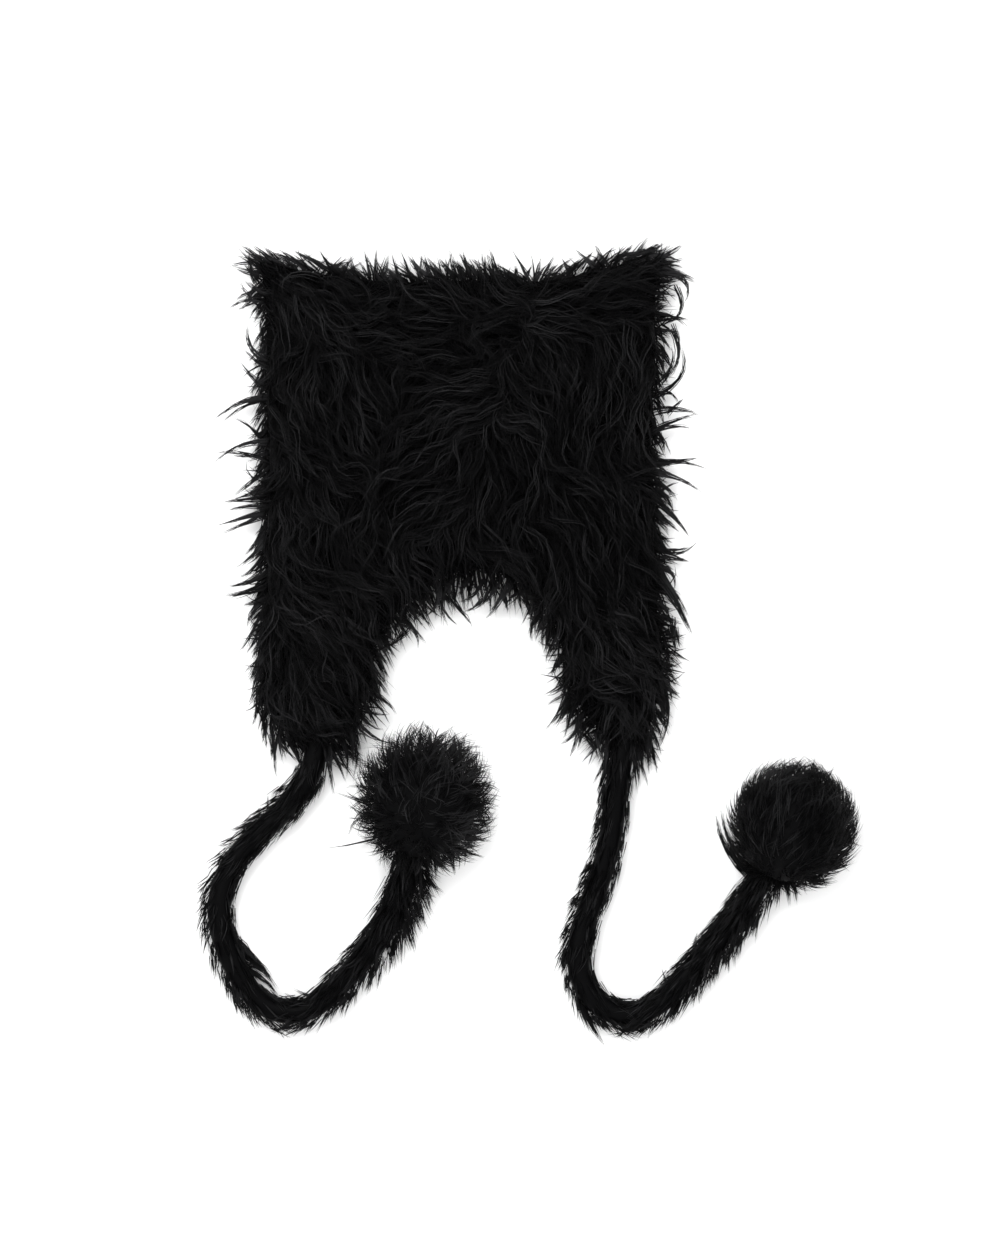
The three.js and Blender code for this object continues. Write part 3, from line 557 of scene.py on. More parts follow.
def over_hat(x, y):
    """Height of the surface that the pile lies on and distance outside the hat's outline. Past the
    cloth's edges the surface slopes down to the floor."""
    across, up = crown_place(x, y)
    inside_across, inside_up = np.clip(across, -1, 1), np.clip(up, 0, 1)
    near_x, near_y = crown_xy(inside_across, inside_up)
    beside = np.hypot(x - near_x, y - near_y)
    top = SEAM_HEIGHT + CLOTH + fullness(inside_across, inside_up)
    height = top * np.exp(-((beside / EDGE_SLOPE) ** 2))
    for flap in FLAPS.values():
        down = np.clip((-CROWN_BOTTOM - y) / FLAP_DROP, 0, 1)
        inner, outer = flap_edges(flap, down)
        near_x = np.clip(x, np.minimum(inner, outer), np.maximum(inner, outer))
        near_y = -CROWN_BOTTOM - FLAP_DROP * down
        far = np.hypot(x - near_x, y - near_y)
        top = SEAM_HEIGHT + CLOTH + flap_lift(flap, near_x, down)
        height = np.maximum(height, top * np.exp(-((far / EDGE_SLOPE) ** 2)))
        beside = np.minimum(beside, far)
    return height, beside


def spot(px, py):
    """The place in the plane that a pixel of the photograph shows."""
    return (np.asarray(px) - PIXEL_OF_ORIGIN[0]) * PIXEL, (PIXEL_OF_ORIGIN[1] - np.asarray(py)) * PIXEL


def combing(x, y):
    """The heading of the pile at a place on the hat, in radians."""
    rows = np.asarray(FLOW, float)
    flow_x, flow_y = spot(rows[:, 0], rows[:, 1])
    near = (x[..., None] - flow_x) ** 2 + (y[..., None] - flow_y) ** 2 + FLOW_REACH**2
    weight = near**-2.0
    angle = np.radians(rows[:, 2])
    return np.arctan2((weight * np.sin(angle)).sum(-1), (weight * np.cos(angle)).sum(-1))


def tie_route(side, count):
    """A tie's centre line as evenly spaced points on a smooth curve through its route."""
    points = np.asarray(TIE_ROUTES[side], float) * MM
    fine = []
    last = len(points) - 1
    for i in range(last):
        a, b = points[max(i - 1, 0)], points[i]
        c, d = points[i + 1], points[min(i + 2, last)]
        square, cube = 2 * a - 5 * b + 4 * c - d, 3 * b - a - 3 * c + d
        for t in np.linspace(0, 1, ROUTE_STEPS, endpoint=False):
            fine.append(0.5 * ((2 * b) + (c - a) * t + square * t**2 + cube * t**3))
    fine = np.array(fine + [points[-1]])
    far = np.concatenate([[0], np.cumsum(np.linalg.norm(np.diff(fine, axis=0), axis=1))])
    even = np.linspace(0, far[-1], count)
    return np.stack([np.interp(even, far, fine[:, k]) for k in range(3)], axis=1)


def pompom_middle(side):
    before, end = np.asarray(TIE_ROUTES[side][-2:], float) * MM
    way = (end - before) * (1, 1, 0)
    middle = end + way / np.linalg.norm(way) * POMPOM_AHEAD * POMPOM_RADIUS
    middle[2] = POMPOM_RADIUS * POMPOM_SAG
    return middle


def drift(x, y, size, seed):
    """Smooth noise over the plane, mostly from -1 to 1, with swells of about a size."""
    chance = np.random.default_rng(seed)
    total = 0
    for _ in range(DRIFT_WAVES):
        angle, long = chance.uniform(0, 2 * np.pi), chance.uniform(0.7, 1.5) * size
        far = (x * np.cos(angle) + y * np.sin(angle)) / long
        total = total + np.sin(2 * np.pi * (far + chance.uniform(0, 1)))
    return total / 2


# Strands


def lines_of_lock(line, owner, ends, knots):
    """The points of each strand's lock line at shares of its length, from 0 to ends, in a number of
    knots."""
    steps = line.shape[1] - 1
    share = np.linspace(0, 1, knots)[None, :] * ends[:, None] * steps
    i = np.clip(share.astype(int), 0, steps - 1)
    part = (share - i)[..., None]
    rows = owner[:, None]
    return line[rows, i] * (1 - part) + line[rows, i + 1] * part


def strand_mesh(name, lines, thick, shade, finish="Long pile", slot="long_fur"):
    """One mesh of closed strands, each with three sides, a base and a pointed tip. lines has a row of
    points for each strand, thick each strand's greatest radius and shade its own number from 0 to 1,
    which the finish reads."""
    count, knots = lines.shape[:2]
    rings = knots - 1
    way = unit(np.gradient(lines, axis=1))
    up = np.zeros_like(way)
    up[..., 2] = 1
    side = np.cross(way, up)
    flat = np.linalg.norm(side, axis=2, keepdims=True)
    side = np.where(flat > 0.15, side / np.maximum(flat, 1e-9), (1, 0, 0))
    over = np.cross(side, way)
    along = np.arange(rings) / rings
    taper = (1 - along**2.4) ** 0.8 * (0.8 + 0.25 * np.sin(np.pi * np.minimum(1, along * 1.6)))
    radius = thick[:, None] * taper[None, :]
    ring = []
    for corner in range(3):
        angle = math.radians(90 + 120 * corner)
        reach = side[:, :rings] * math.cos(angle) + over[:, :rings] * math.sin(angle)
        ring.append(lines[:, :rings] + reach * radius[..., None])
    body = np.stack(ring, axis=2).reshape(count, rings * 3, 3)
    points = np.concatenate([body, lines[:, -1:]], axis=1)
    points[..., 2] = np.maximum(points[..., 2], LOWEST)
    per = rings * 3 + 1
    quads, quad_uv = [], []
    for r in range(rings - 1):
        for s in range(3):
            a, b = r * 3 + s, r * 3 + (s + 1) % 3
            quads.append((a, b, b + 3, a + 3))
            quad_uv.append([(s, r), (s + 1, r), (s + 1, r + 1), (s, r + 1)])
    tips, tip_uv = [(0, 2, 1)], [[(0, 0), (1.5, 0.4), (3, 0)]]
    for s in range(3):
        a, b = (rings - 1) * 3 + s, (rings - 1) * 3 + (s + 1) % 3
        tips.append((a, b, rings * 3))
        tip_uv.append([(s, rings - 1), (s + 1, rings - 1), (s + 0.5, rings)])
    start = (np.arange(count) * per)[:, None, None]
    corners = np.concatenate([(np.array(faces)[None] + start).reshape(-1) for faces in (quads, tips)])
    sizes = np.concatenate([np.full(count * len(quads), 4), np.full(count * len(tips), 3)])
    mesh = bpy.data.meshes.new(name)
    mesh.vertices.add(count * per)
    mesh.vertices.foreach_set("co", points.astype(np.float32).ravel())
    mesh.loops.add(len(corners))
    mesh.loops.foreach_set("vertex_index", corners.astype(np.int32))
    mesh.polygons.add(len(sizes))
    mesh.polygons.foreach_set("loop_start", np.concatenate([[0], np.cumsum(sizes)[:-1]]).astype(np.int32))
    across = math.ceil(math.sqrt(count))
    cell = np.stack([np.arange(count) % across, np.arange(count) // across], axis=1)[:, None, None, :]
    scale = np.array([3.6, rings * 1.15])
    laid = [(np.array(each)[None] / scale + 0.06 + cell) / across for each in (quad_uv, tip_uv)]
    spread = mesh.uv_layers.new(name="OFBake")
    spread.data.foreach_set("uv", np.concatenate([each.reshape(-1) for each in laid]).astype(np.float32))
    for label, values in (
        ("strand", np.repeat(shade, per)),
        ("along", np.tile(np.append(np.repeat(along, 3), 1.0), count)),
    ):
        mesh.attributes.new(label, "FLOAT", "POINT").data.foreach_set("value", values.astype(np.float32))
    mesh.polygons.foreach_set("use_smooth", np.ones(len(sizes), bool))
    mesh.update(calc_edges=True)
    mesh.validate()
    piece = bpy.data.objects.new(name, mesh)
    bpy.context.scene.collection.objects.link(piece)
    mesh.materials.append(finish_of(finish))
    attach(piece, BODY)
    return piece


def unit(vectors):
    """Vectors brought to a length of 1."""
    return vectors / np.maximum(np.linalg.norm(vectors, axis=-1, keepdims=True), 1e-9)


def turned(heading):
    """Unit vectors in the plane at headings in radians."""
    return np.stack([np.cos(heading), np.sin(heading)], axis=-1)


def between(locks, begin, end):
    """The parts of lines between two shares of their length, laid out again in the same number of
    points."""
    steps = locks.shape[1] - 1
    share = (begin[:, None] + (end - begin)[:, None] * np.linspace(0, 1, steps + 1)) * steps
    i = np.clip(share.astype(int), 0, steps - 1)
    part = (share - i)[..., None]
    rows = np.arange(len(locks))[:, None]
    return locks[rows, i] * (1 - part) + locks[rows, i + 1] * part


def grow_locks(chance, x, y, length, stand, reach, settings):
    """Lines of locks that follow the combing both ways from their middles, x and y. Their roots stay on
    the hat and their tips within a reach of it. z is a height above the surface that the pile lies on.
    Neighbours sway together."""
    count = len(x)
    half = LOCK_STEPS
    stray = chance.normal(0, settings.stray, count) + STRAY_SHARED * drift(x, y, *STRAY_DRIFT)
    curl = chance.normal(0, settings.curl, count) + CURL_SHARED * drift(x, y, *CURL_DRIFT)
    swing = chance.uniform(*SWINGS, count) * settings.swing
    turns = length / (settings.wave * chance.uniform(*WAVES, count))
    phase = PHASE_SHARED * drift(x, y, *PHASE_DRIFT) + chance.uniform(0, PHASE_OWN, count)
    sides = []
    for sense in (-1, 1):
        at_x, at_y = x, y
        way = combing(x, y)
        places = []
        for step in range(half):
            t = 0.5 + sense * (step + 0.5) / (2 * half)
            way = way + settings.follow * np.angle(np.exp(1j * (combing(at_x, at_y) - way)))
            wave = swing * np.sin(2 * np.pi * (turns * t + phase))
            late = t - CURL_PIVOT
            heading = way + stray + curl * late * abs(late) * 2 + wave
            at_x = at_x + sense * np.cos(heading) * length / (2 * half)
            at_y = at_y + sense * np.sin(heading) * length / (2 * half)
            places.append(np.stack([at_x, at_y], axis=1))
        sides.append(places)
    locks = np.stack(sides[0][::-1] + [np.stack([x, y], axis=1)] + sides[1], axis=1)
    beside = over_hat(locks[..., 0], locks[..., 1])[1]
    off = beside[:, :half] > 0.5 * MM
    begin = np.where(off.any(axis=1), half - off[:, ::-1].argmax(axis=1), 0) / (2 * half)
    past = beside[:, half:] > reach[:, None]
    end = np.where(past.any(axis=1), half + past.argmax(axis=1), 2 * half) / (2 * half)
    flat = between(locks, begin, end)
    t = np.linspace(0, 1, 2 * half + 1)[None, :]
    rise = (stand * (0.4 + 0.6 * (end - begin)))[:, None] * (1 - (1 - t) ** 2.2) - ROOT_DEPTH * (1 - t) ** 6
    return np.concatenate([flat, rise[..., None]], axis=2)


def strands_of_locks(chance, locks, each, radius, settings, knots, tight):
    """Bundles of strands round lock lines, which narrow to a share, tight, of their radius. Returns
    their lines and a number from 0 to 1 for each. each, radius and tight may differ from lock to
    lock."""
    count = len(locks)
    owner = np.repeat(np.arange(count), each)
    total = len(owner)
    radius, tight = (np.broadcast_to(value, count)[owner] for value in (radius, tight))
    own = lines_of_lock(locks, owner, chance.uniform(*STRAND_LENGTHS, total), knots)
    t = np.linspace(0, 1, knots)[None, :, None]
    aside = turned(chance.uniform(0, 2 * np.pi, total))
    aside = aside * (np.sqrt(chance.uniform(0, 1, total)) * radius)[:, None]
    tight = tight[:, None, None]
    own[..., :2] += aside[:, None, :] * (tight + (1 - tight) * (1 - t) ** 1.3)
    way = unit(np.gradient(own[..., :2], axis=1))
    across = np.stack([-way[..., 1], way[..., 0]], axis=-1)
    wiggle = chance.normal(0, settings.wiggle, total)[:, None, None]
    rate = chance.uniform(*WIGGLE_WAVES, total)[:, None, None]
    phase = chance.uniform(0, 1, total)[:, None, None]
    own[..., :2] += across * wiggle * np.sin(2 * np.pi * (rate * t + phase)) * t
    layer = chance.uniform(0, 1, total)[:, None] ** 1.5 * LAYER_MM * MM
    own[..., 2] += layer * (t[..., 0] * (1.6 - t[..., 0]))
    tone = chance.uniform(*LOCK_TONES, count)[owner] + chance.normal(0, STRAND_TONE_SPREAD, total)
    # Painted glints on a share of the strands
    tone = tone + np.where(chance.uniform(0, 1, total) < BRIGHT_STRANDS, BRIGHT_BY, 0)
    return own, np.clip(tone, 0, 1)


def coat_tone(tone):
    """Tones of strands painted light, as on the upper coat where light falls on the pile, none of which is
    quite dark.
    """
    return COAT_BASE_TONE + (1 - COAT_BASE_TONE) * tone


def lay_on_bed(lines):
    """Turns heights above the pile's bed into heights above the floor."""
    lines = lines.copy()
    lines[..., 2] += over_hat(lines[..., 0], lines[..., 1])[0]
    lines[..., 2] = np.maximum(lines[..., 2], LOWEST_PILE)
    return lines


def scatter(chance, low, high, spacing):
    """Jittered places on a staggered lattice over a rectangle."""
    rows = max(1, round((high[1] - low[1]) / (spacing * 0.87)))
    columns = max(1, round((high[0] - low[0]) / spacing))
    r, c = np.meshgrid(np.arange(rows), np.arange(columns), indexing="ij")
    u = (c + 0.5 + 0.5 * (r % 2) - 0.25 + chance.uniform(-0.38, 0.38, r.shape)) / columns
    v = (r + 0.5 + chance.uniform(-0.38, 0.38, r.shape)) / rows
    x = low[0] + u.ravel() * (high[0] - low[0])
    y = low[1] + v.ravel() * (high[1] - low[1])
    return x, y


def long_pile(chance, x, y, settings, size=1.0, light=1.0):
    """Long wavy strands, with a coat over them painted lighter and short ones under them in painted shade,
    from places on the hat. Returns the long strands and the short ones as (lines, radii, numbers)."""
    count = len(x)
    length = settings.length * size * chance.uniform(*LOCK_LENGTHS, count)
    stand = settings.stand * size * chance.uniform(*LOCK_STANDS, count)
    locks = grow_locks(chance, x, y, length, stand, chance.uniform(*LOCK_REACH_MM, count) * MM, settings)
    tight = chance.uniform(*LOCK_TIGHT, count)
    own, tone = strands_of_locks(chance, locks, settings.each, LOCK_RADIUS, settings, LOCK_KNOTS, tight)
    bright = chance.uniform(0, 1, count) < COAT_SHARE
    tight = chance.uniform(*COAT_TIGHT, bright.sum())
    top, top_tone = strands_of_locks(
        chance, locks[bright], COAT_STRANDS, COAT_RADIUS, settings, LOCK_KNOTS, tight
    )
    top[..., 2] += np.linspace(0, 1, LOCK_KNOTS) ** 0.7 * COAT_RISE_MM * MM
    thick = np.concatenate([chance.uniform(*STRAND_THICK, len(own)), chance.uniform(*COAT_THICK, len(top))])
    # Painted light and shade: the coat over the pile is lighter and the strands under it half as light
    own, tone = np.concatenate([own, top]), np.concatenate([tone * 0.5, coat_tone(top_tone)])
    over = lay_on_bed(own), thick * settings.strand, np.clip(tone * light, 0, 1)
    x, y, stand = (np.repeat(each, UNDER_STRANDS) for each in (x, y, stand))
    count = len(x)
    x, y = x + chance.normal(0, UNDER_SPREAD, count), y + chance.normal(0, UNDER_SPREAD, count)
    heading = combing(x, y) + chance.normal(0, UNDER_STRAY, count)
    bend = chance.normal(0, UNDER_BEND, count)
    t = np.linspace(0, 1, UNDER_KNOTS)[None, :]
    flat = turned(heading[:, None] + bend[:, None] * t)[:, 1:].cumsum(axis=1) / (UNDER_KNOTS - 1)
    own = np.zeros((count, UNDER_KNOTS, 3))
    own[:, 1:, :2] = flat * (chance.uniform(*UNDER_LENGTH_MM, count) * MM)[:, None, None]
    own[..., :2] += np.stack([x, y], axis=1)[:, None]
    own[..., 2] = stand[:, None] * 0.5 * (1 - (1 - t) ** 2) - ROOT_DEPTH * (1 - t)
    thick = chance.uniform(*UNDER_THICK, count) * settings.strand
    # The short strands under the pile take dark tones, as painted shade
    return over, (lay_on_bed(own), thick, chance.uniform(*UNDER_TONES, count))


# Settings


class HatSizes(bpy.types.PropertyGroup):
    strand: FloatProperty(
        name="Strand", description="Greatest radius of a strand of the long pile",
        default=0.42 * MM, min=0.1 * MM, max=2 * MM, unit="LENGTH", precision=5,
    )
    wisp: FloatProperty(
        name="Wisp", description="Greatest radius of a loose single hair",
        default=0.2 * MM, min=0.05 * MM, max=1 * MM, unit="LENGTH", precision=5,
    )
    length: FloatProperty(
        name="Pile length", description="Length of a lock on the crown",
        default=64 * MM, min=10 * MM, max=90 * MM, unit="LENGTH",
    )
    stand: FloatProperty(
        name="Pile height", description="How high a lock's tip stands above the cloth",
        default=11 * MM, min=2 * MM, max=30 * MM, unit="LENGTH",
    )
    spacing: FloatProperty(
        name="Lock spacing", description="Distance between neighbouring locks on the crown",
        default=7.2 * MM, min=4 * MM, max=20 * MM, unit="LENGTH",
    )
    each: IntProperty(
        name="Strands in a lock", description="How many long strands each lock has",
        default=5, min=1, max=20,
    )
    curl: FloatProperty(
        name="Curl", description="How far a lock's tip turns, as one standard deviation",
        default=0.45, min=0, max=2, subtype="ANGLE",
    )
    swing: FloatProperty(
        name="Swing", description="How far a wavy lock turns to each side on its way",
        default=0.7, min=0, max=1.5, subtype="ANGLE",
    )
    wave: FloatProperty(
        name="Wave", description="Length of one wave of a lock",
        default=42 * MM, min=5 * MM, max=100 * MM, unit="LENGTH",
    )
    stray: FloatProperty(
        name="Stray", description="How far a lock strays from the combing, as one standard deviation",
        default=0.2, min=0, max=1.5, subtype="ANGLE",
    )
    wiggle: FloatProperty(
        name="Wiggle", description="How far a strand leaves its lock, as one standard deviation",
        default=0.8 * MM, min=0, max=6 * MM, unit="LENGTH", precision=5,
    )
    follow: FloatProperty(
        name="Follow",
        description="How quickly a lock turns into the combing, as a share for each sixteenth of its length",
        default=0.3, min=0, max=1,
    )
    seed: IntProperty(
        name="Seed", description="Start of the row of numbers that places the locks",
        default=7, min=0,
    )


class HatColours(bpy.types.PropertyGroup):
    pile: FloatVectorProperty(
        name="Pile", description="Colour of the darkest strands",
        default=(0.0012, 0.0012, 0.0014), min=0, max=1, size=3, subtype="COLOR",
    )
    # Painted glint: the lightest strands stand in for the highlights on the pile
    glint: FloatVectorProperty(
        name="Glint", description="Colour of the lightest strands, near their tips",
        default=(0.0405, 0.0405, 0.0423), min=0, max=1, size=3, subtype="COLOR",
    )
    cloth: FloatVectorProperty(
        name="Cloth", description="Colour of the knitted backing inside the hat",
        default=(0.001, 0.001, 0.0011), min=0, max=1, size=3, subtype="COLOR",
    )
    floor: FloatVectorProperty(
        name="Floor", description="Colour of the surface that the hat lies on",
        default=(0.9, 0.9, 0.9), min=0, max=1, size=3, subtype="COLOR",
    )


class HatStage(bpy.types.PropertyGroup):
    distance: FloatProperty(
        name="Camera distance", description="From the hat's middle height up to the camera",
        default=7.0, min=0.5, max=20, unit="LENGTH",
    )
    lens: FloatProperty(
        name="Lens", description="Focal length on a sensor 36 mm long",
        default=272.4, min=20, max=600, unit="CAMERA",
    )
    sky: FloatProperty(
        name="Room light", description="Strength of the even light from all round",
        default=1.45, min=0, max=10,
    )
    glow: FloatProperty(
        name="Floor glow", description="Light that the floor gives off, which keeps it white round the hat",
        default=0.05, min=0, max=5,
    )
    key: FloatProperty(
        name="Key light", description="Power of the large soft light above the top seam",
        default=22, min=0, max=500, unit="POWER",
    )


# Shader sums


class Wire:
    """A node's output that can be used in sums. Each sum adds the Math node it needs."""

    def __init__(self, finish, socket):
        self.finish = finish
        self.socket = socket

    def sum_with(self, operation, *values):
        return self.finish.node("ShaderNodeMath", {"operation": operation}, list(values))

    def __add__(self, other):
        return self.sum_with("ADD", self, other)

    def __sub__(self, other):
        return self.sum_with("SUBTRACT", self, other)

    def __rsub__(self, other):
        return self.sum_with("SUBTRACT", other, self)

    def __mul__(self, other):
        return self.sum_with("MULTIPLY", self, other)

    def __pow__(self, other):
        return self.sum_with("POWER", self, other)

    __radd__ = __add__
    __rmul__ = __mul__


class Finish:
    """A material with one Principled shader, built up from wires."""

    def __init__(self, name):
        self.material = bpy.data.materials.new(name)
        self.material.use_nodes = True
        self.tree = self.material.node_tree
        self.shader = self.tree.nodes["Principled BSDF"]

    def node(self, kind, settings=None, values=None, output=0):
        """Adds a node. settings are set first, then values: a list for its first sockets or a dict by
        name."""
        made = self.tree.nodes.new(kind)
        for key, value in (settings or {}).items():
            if key == "stops":
                self.set_stops(made.color_ramp, value)
            else:
                setattr(made, key, value)
        pairs = values.items() if isinstance(values, dict) else enumerate(values or [])
        for key, value in pairs:
            self.join(value, made.inputs[key])
        return Wire(self, made.outputs[output])

    def set_stops(self, ramp, stops):
        for i, (place, grey) in enumerate(stops):
            stop = ramp.elements[i] if i < 2 else ramp.elements.new(place)
            stop.position = place
            stop.color = (grey, grey, grey, 1)

    def join(self, value, socket):
        if isinstance(value, Wire):
            self.tree.links.new(value.socket, socket)
        elif hasattr(value, "__len__") and len(value) == 3 and len(socket.default_value) == 4:
            socket.default_value = (*value, 1)
        else:
            socket.default_value = value

    def mix(self, share, low, high):
        """A colour between two, by a share."""
        made = self.tree.nodes.new("ShaderNodeMix")
        made.data_type = "RGBA"
        for place, value in ((0, share), (6, low), (7, high)):
            self.join(value, made.inputs[place])
        return Wire(self, made.outputs[2])

    def set(self, **values):
        """Sets the shader's sockets, named with underscores for spaces."""
        for name, value in values.items():
            self.join(value, self.shader.inputs[name.replace("_", " ")])


def pile_finish(name, dark, light, roughness, specular):
    """Synthetic fur: each strand has a tone of its own, has painted shade towards its root and is a little
    uneven along it. The light colour is painted glint on the lightest strands."""
    finish = Finish(name)
    own = finish.node("ShaderNodeAttribute", {"attribute_name": "strand"}, output=2)
    along = finish.node("ShaderNodeAttribute", {"attribute_name": "along"}, output=2)
    place = finish.node("ShaderNodeTexCoord", output=3)
    patch = finish.node("ShaderNodeTexNoise", values={"Vector": place, "Scale": 38.0, "Detail": 3.0})
    grain = finish.node("ShaderNodeTexNoise", values={"Vector": place, "Scale": 420.0, "Detail": 2.0})
    # Painted shade: along ** 0.5 darkens each strand towards its root, under the rest of the pile
    tone = own**2.1 * (along**0.5 * 0.7 + 0.3) * (patch * 0.9 + 0.5) * (grain * 0.7 + 0.65)
    clear = finish.node("ShaderNodeClamp", values=[tone, 0.0, 1.0])
    finish.set(
        Base_Color=finish.mix(clear, dark, light),
        Roughness=roughness + own * 0.16 + grain * 0.1 - 0.1,
    )
    finish.shader.inputs["Specular IOR Level"].default_value = specular
    return finish.material


def knit_finish(name, colour):
    """The knitted backing: fine ribs of loops, a little fluff and uneven dye."""
    finish = Finish(name)
    place = finish.node("ShaderNodeTexCoord", output=3)
    ribs = finish.node(
        "ShaderNodeTexWave",
        {"wave_type": "BANDS", "bands_direction": "X"},
        {"Vector": place, "Scale": 190.0, "Distortion": 1.5, "Detail": 1.0, "Detail Scale": 3.0},
    )
    loops = finish.node(
        "ShaderNodeTexWave",
        {"wave_type": "BANDS", "bands_direction": "Y"},
        {"Vector": place, "Scale": 240.0, "Distortion": 2.5, "Detail": 1.0, "Detail Scale": 4.0},
    )
    fluff = finish.node("ShaderNodeTexNoise", values={"Vector": place, "Scale": 160.0, "Detail": 4.0})
    weave = ribs * 0.6 + loops * 0.4
    tone = finish.node("ShaderNodeClamp", values=[weave * 0.5 + fluff * 0.6 - 0.15, 0.0, 1.0])
    height = weave + fluff * 0.5
    bump = finish.node("ShaderNodeBump", values={"Strength": 0.5, "Distance": 0.0008, "Height": height})
    finish.set(
        Base_Color=finish.mix(tone, [c * 0.45 for c in colour], [c * 1.8 for c in colour]),
        Roughness=0.85 + fluff * 0.12,
        Normal=bump,
    )
    finish.shader.inputs["Specular IOR Level"].default_value = 0.03
    return finish.material


def finish_of(name):
    """A material of the hat, made the first time it is asked for."""
    found = bpy.data.materials.get(name)
    if found:
        return found
    colours = bpy.context.scene.hat_colours
    dark, light = tuple(colours.pile), tuple(colours.glint)
    if name == "Knit backing":
        return knit_finish(name, tuple(colours.cloth))
    if name == "Long pile":
        return pile_finish(name, dark, light, 0.45, 0.03)
    if name == "Pressed core":
        return pile_finish(name, dark, [c * 0.6 for c in light], 0.7, 0.04)
    return pile_finish(name, dark, [c * 0.85 for c in light], 0.5, 0.03)


# Pieces


def clear_selection():
    bpy.ops.object.select_all(action="DESELECT")


def apply_modifiers(piece):
    clear_selection()
    piece.select_set(True)
    bpy.context.view_layer.objects.active = piece
    for modifier in list(piece.modifiers):
        bpy.ops.object.modifier_apply(modifier=modifier.name)


def cloth_grid(name, columns, rows, place, thickness):
    """A cloth panel: a grid laid out by place(u, v), u and v from 0 to 1, made a closed shell
    downwards."""
    clear_selection()
    bpy.ops.mesh.primitive_grid_add(x_subdivisions=columns, y_subdivisions=rows, size=1)
    piece = bpy.context.active_object
    piece.name = piece.data.name = name
    at = np.array([v.co for v in piece.data.vertices]) + 0.5
    moved = np.stack(place(at[:, 0], at[:, 1]), axis=1)
    piece.data.vertices.foreach_set("co", moved.astype(np.float32).ravel())
    piece.data.update()
    if sum(p.normal.z * p.area for p in piece.data.polygons) < 0:
        piece.data.flip_normals()
    wall = piece.modifiers.new("Cloth", "SOLIDIFY")
    wall.thickness = thickness
    wall.offset = -1
    wall.use_even_offset = False
    apply_modifiers(piece)
    for polygon in piece.data.polygons:
        polygon.use_smooth = True
    return piece


def dress(piece, finish, slot, *nodes):
    piece.data.materials.clear()
    piece.data.materials.append(finish_of(finish))
    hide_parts(*nodes)
    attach(piece, BODY)
    return piece


class HAT_OT_stage(bpy.types.Operator):
    """Floor, soft light and the camera straight above the hat"""

    bl_idname = "hat.stage"
    bl_label = "Stage"

    def execute(self, context):
        scene = context.scene
        stage, colours = scene.hat_stage, scene.hat_colours
        scene.view_settings.view_transform = "Standard"
        scene.view_settings.look = "None"
        above = (*spot(*PICTURE_MIDDLE), stage.distance + HAT_MIDDLE_HEIGHT)
        clear_selection()
        bpy.ops.object.camera_add(location=above, rotation=(0, 0, 0))
        camera = context.active_object
        camera.name = "Camera"
        camera.data.lens = stage.lens
        camera.data.sensor_width = SENSOR
        scene.camera = camera
        clear_selection()
        bpy.ops.mesh.primitive_circle_add(
            vertices=FLOOR_SIDES, radius=FLOOR_RADIUS, fill_type="NGON", location=(0, 0, 0)
        )
        floor = context.active_object
        floor.name = "Floor"
        paper = Finish("Floor paper")
        place = paper.node("ShaderNodeTexCoord", output=3)
        cloud = paper.node("ShaderNodeTexNoise", values={"Vector": place, "Scale": 3.0, "Detail": 2.0})
        paper.set(
            Base_Color=paper.mix(cloud, [c * 0.99 for c in colours.floor], tuple(colours.floor)),
            Roughness=0.9,
        )
        paper.shader.inputs["Specular IOR Level"].default_value = 0.1
        paper.shader.inputs["Emission Color"].default_value = (1, 1, 1, 1)
        paper.shader.inputs["Emission Strength"].default_value = stage.glow
        floor.data.materials.append(paper.material)
        world = bpy.data.worlds.new("Room")
        world.use_nodes = True
        room = world.node_tree.nodes["Background"]
        room.inputs["Color"].default_value = (1, 1, 1, 1)
        room.inputs["Strength"].default_value = stage.sky
        scene.world = world
        clear_selection()
        bpy.ops.object.light_add(type="AREA", location=KEY_PLACE)
        key = context.active_object
        key.name = "Key light"
        key.data.shape = "RECTANGLE"
        key.data.size, key.data.size_y = KEY_SIZE
        key.data.energy = stage.key
        aim = Vector(KEY_AIM) - key.location
        key.rotation_euler = aim.to_track_quat("-Z", "Y").to_euler()
        return {"FINISHED"}


class HAT_OT_ties(bpy.types.Operator):
    """The ties' round cores, laid along their routes from the ear flaps to the pompoms"""

    bl_idname = "hat.ties"
    bl_label = "Tie cores"

    def execute(self, context):
        for side in TIE_ROUTES:
            points = tie_route(side, CORE_POINTS)
            clear_selection()
            bpy.ops.curve.primitive_nurbs_path_add(location=(0, 0, 0))
            tie = context.active_object
            tie.name = tie.data.name = f"tie_core_{side}"
            tie.data.splines.clear()
            spline = tie.data.splines.new("POLY")
            spline.points.add(len(points) - 1)
            for point, at in zip(spline.points, points):
                point.co = (*at, 1)
            tie.data.dimensions = "3D"
            tie.data.bevel_depth = TIE_DIAMETER / 2
            tie.data.bevel_resolution = 3
            tie.data.use_fill_caps = True
            dress(tie, "Tie core", "tie_fur", f"tie_{side}")
        return {"FINISHED"}


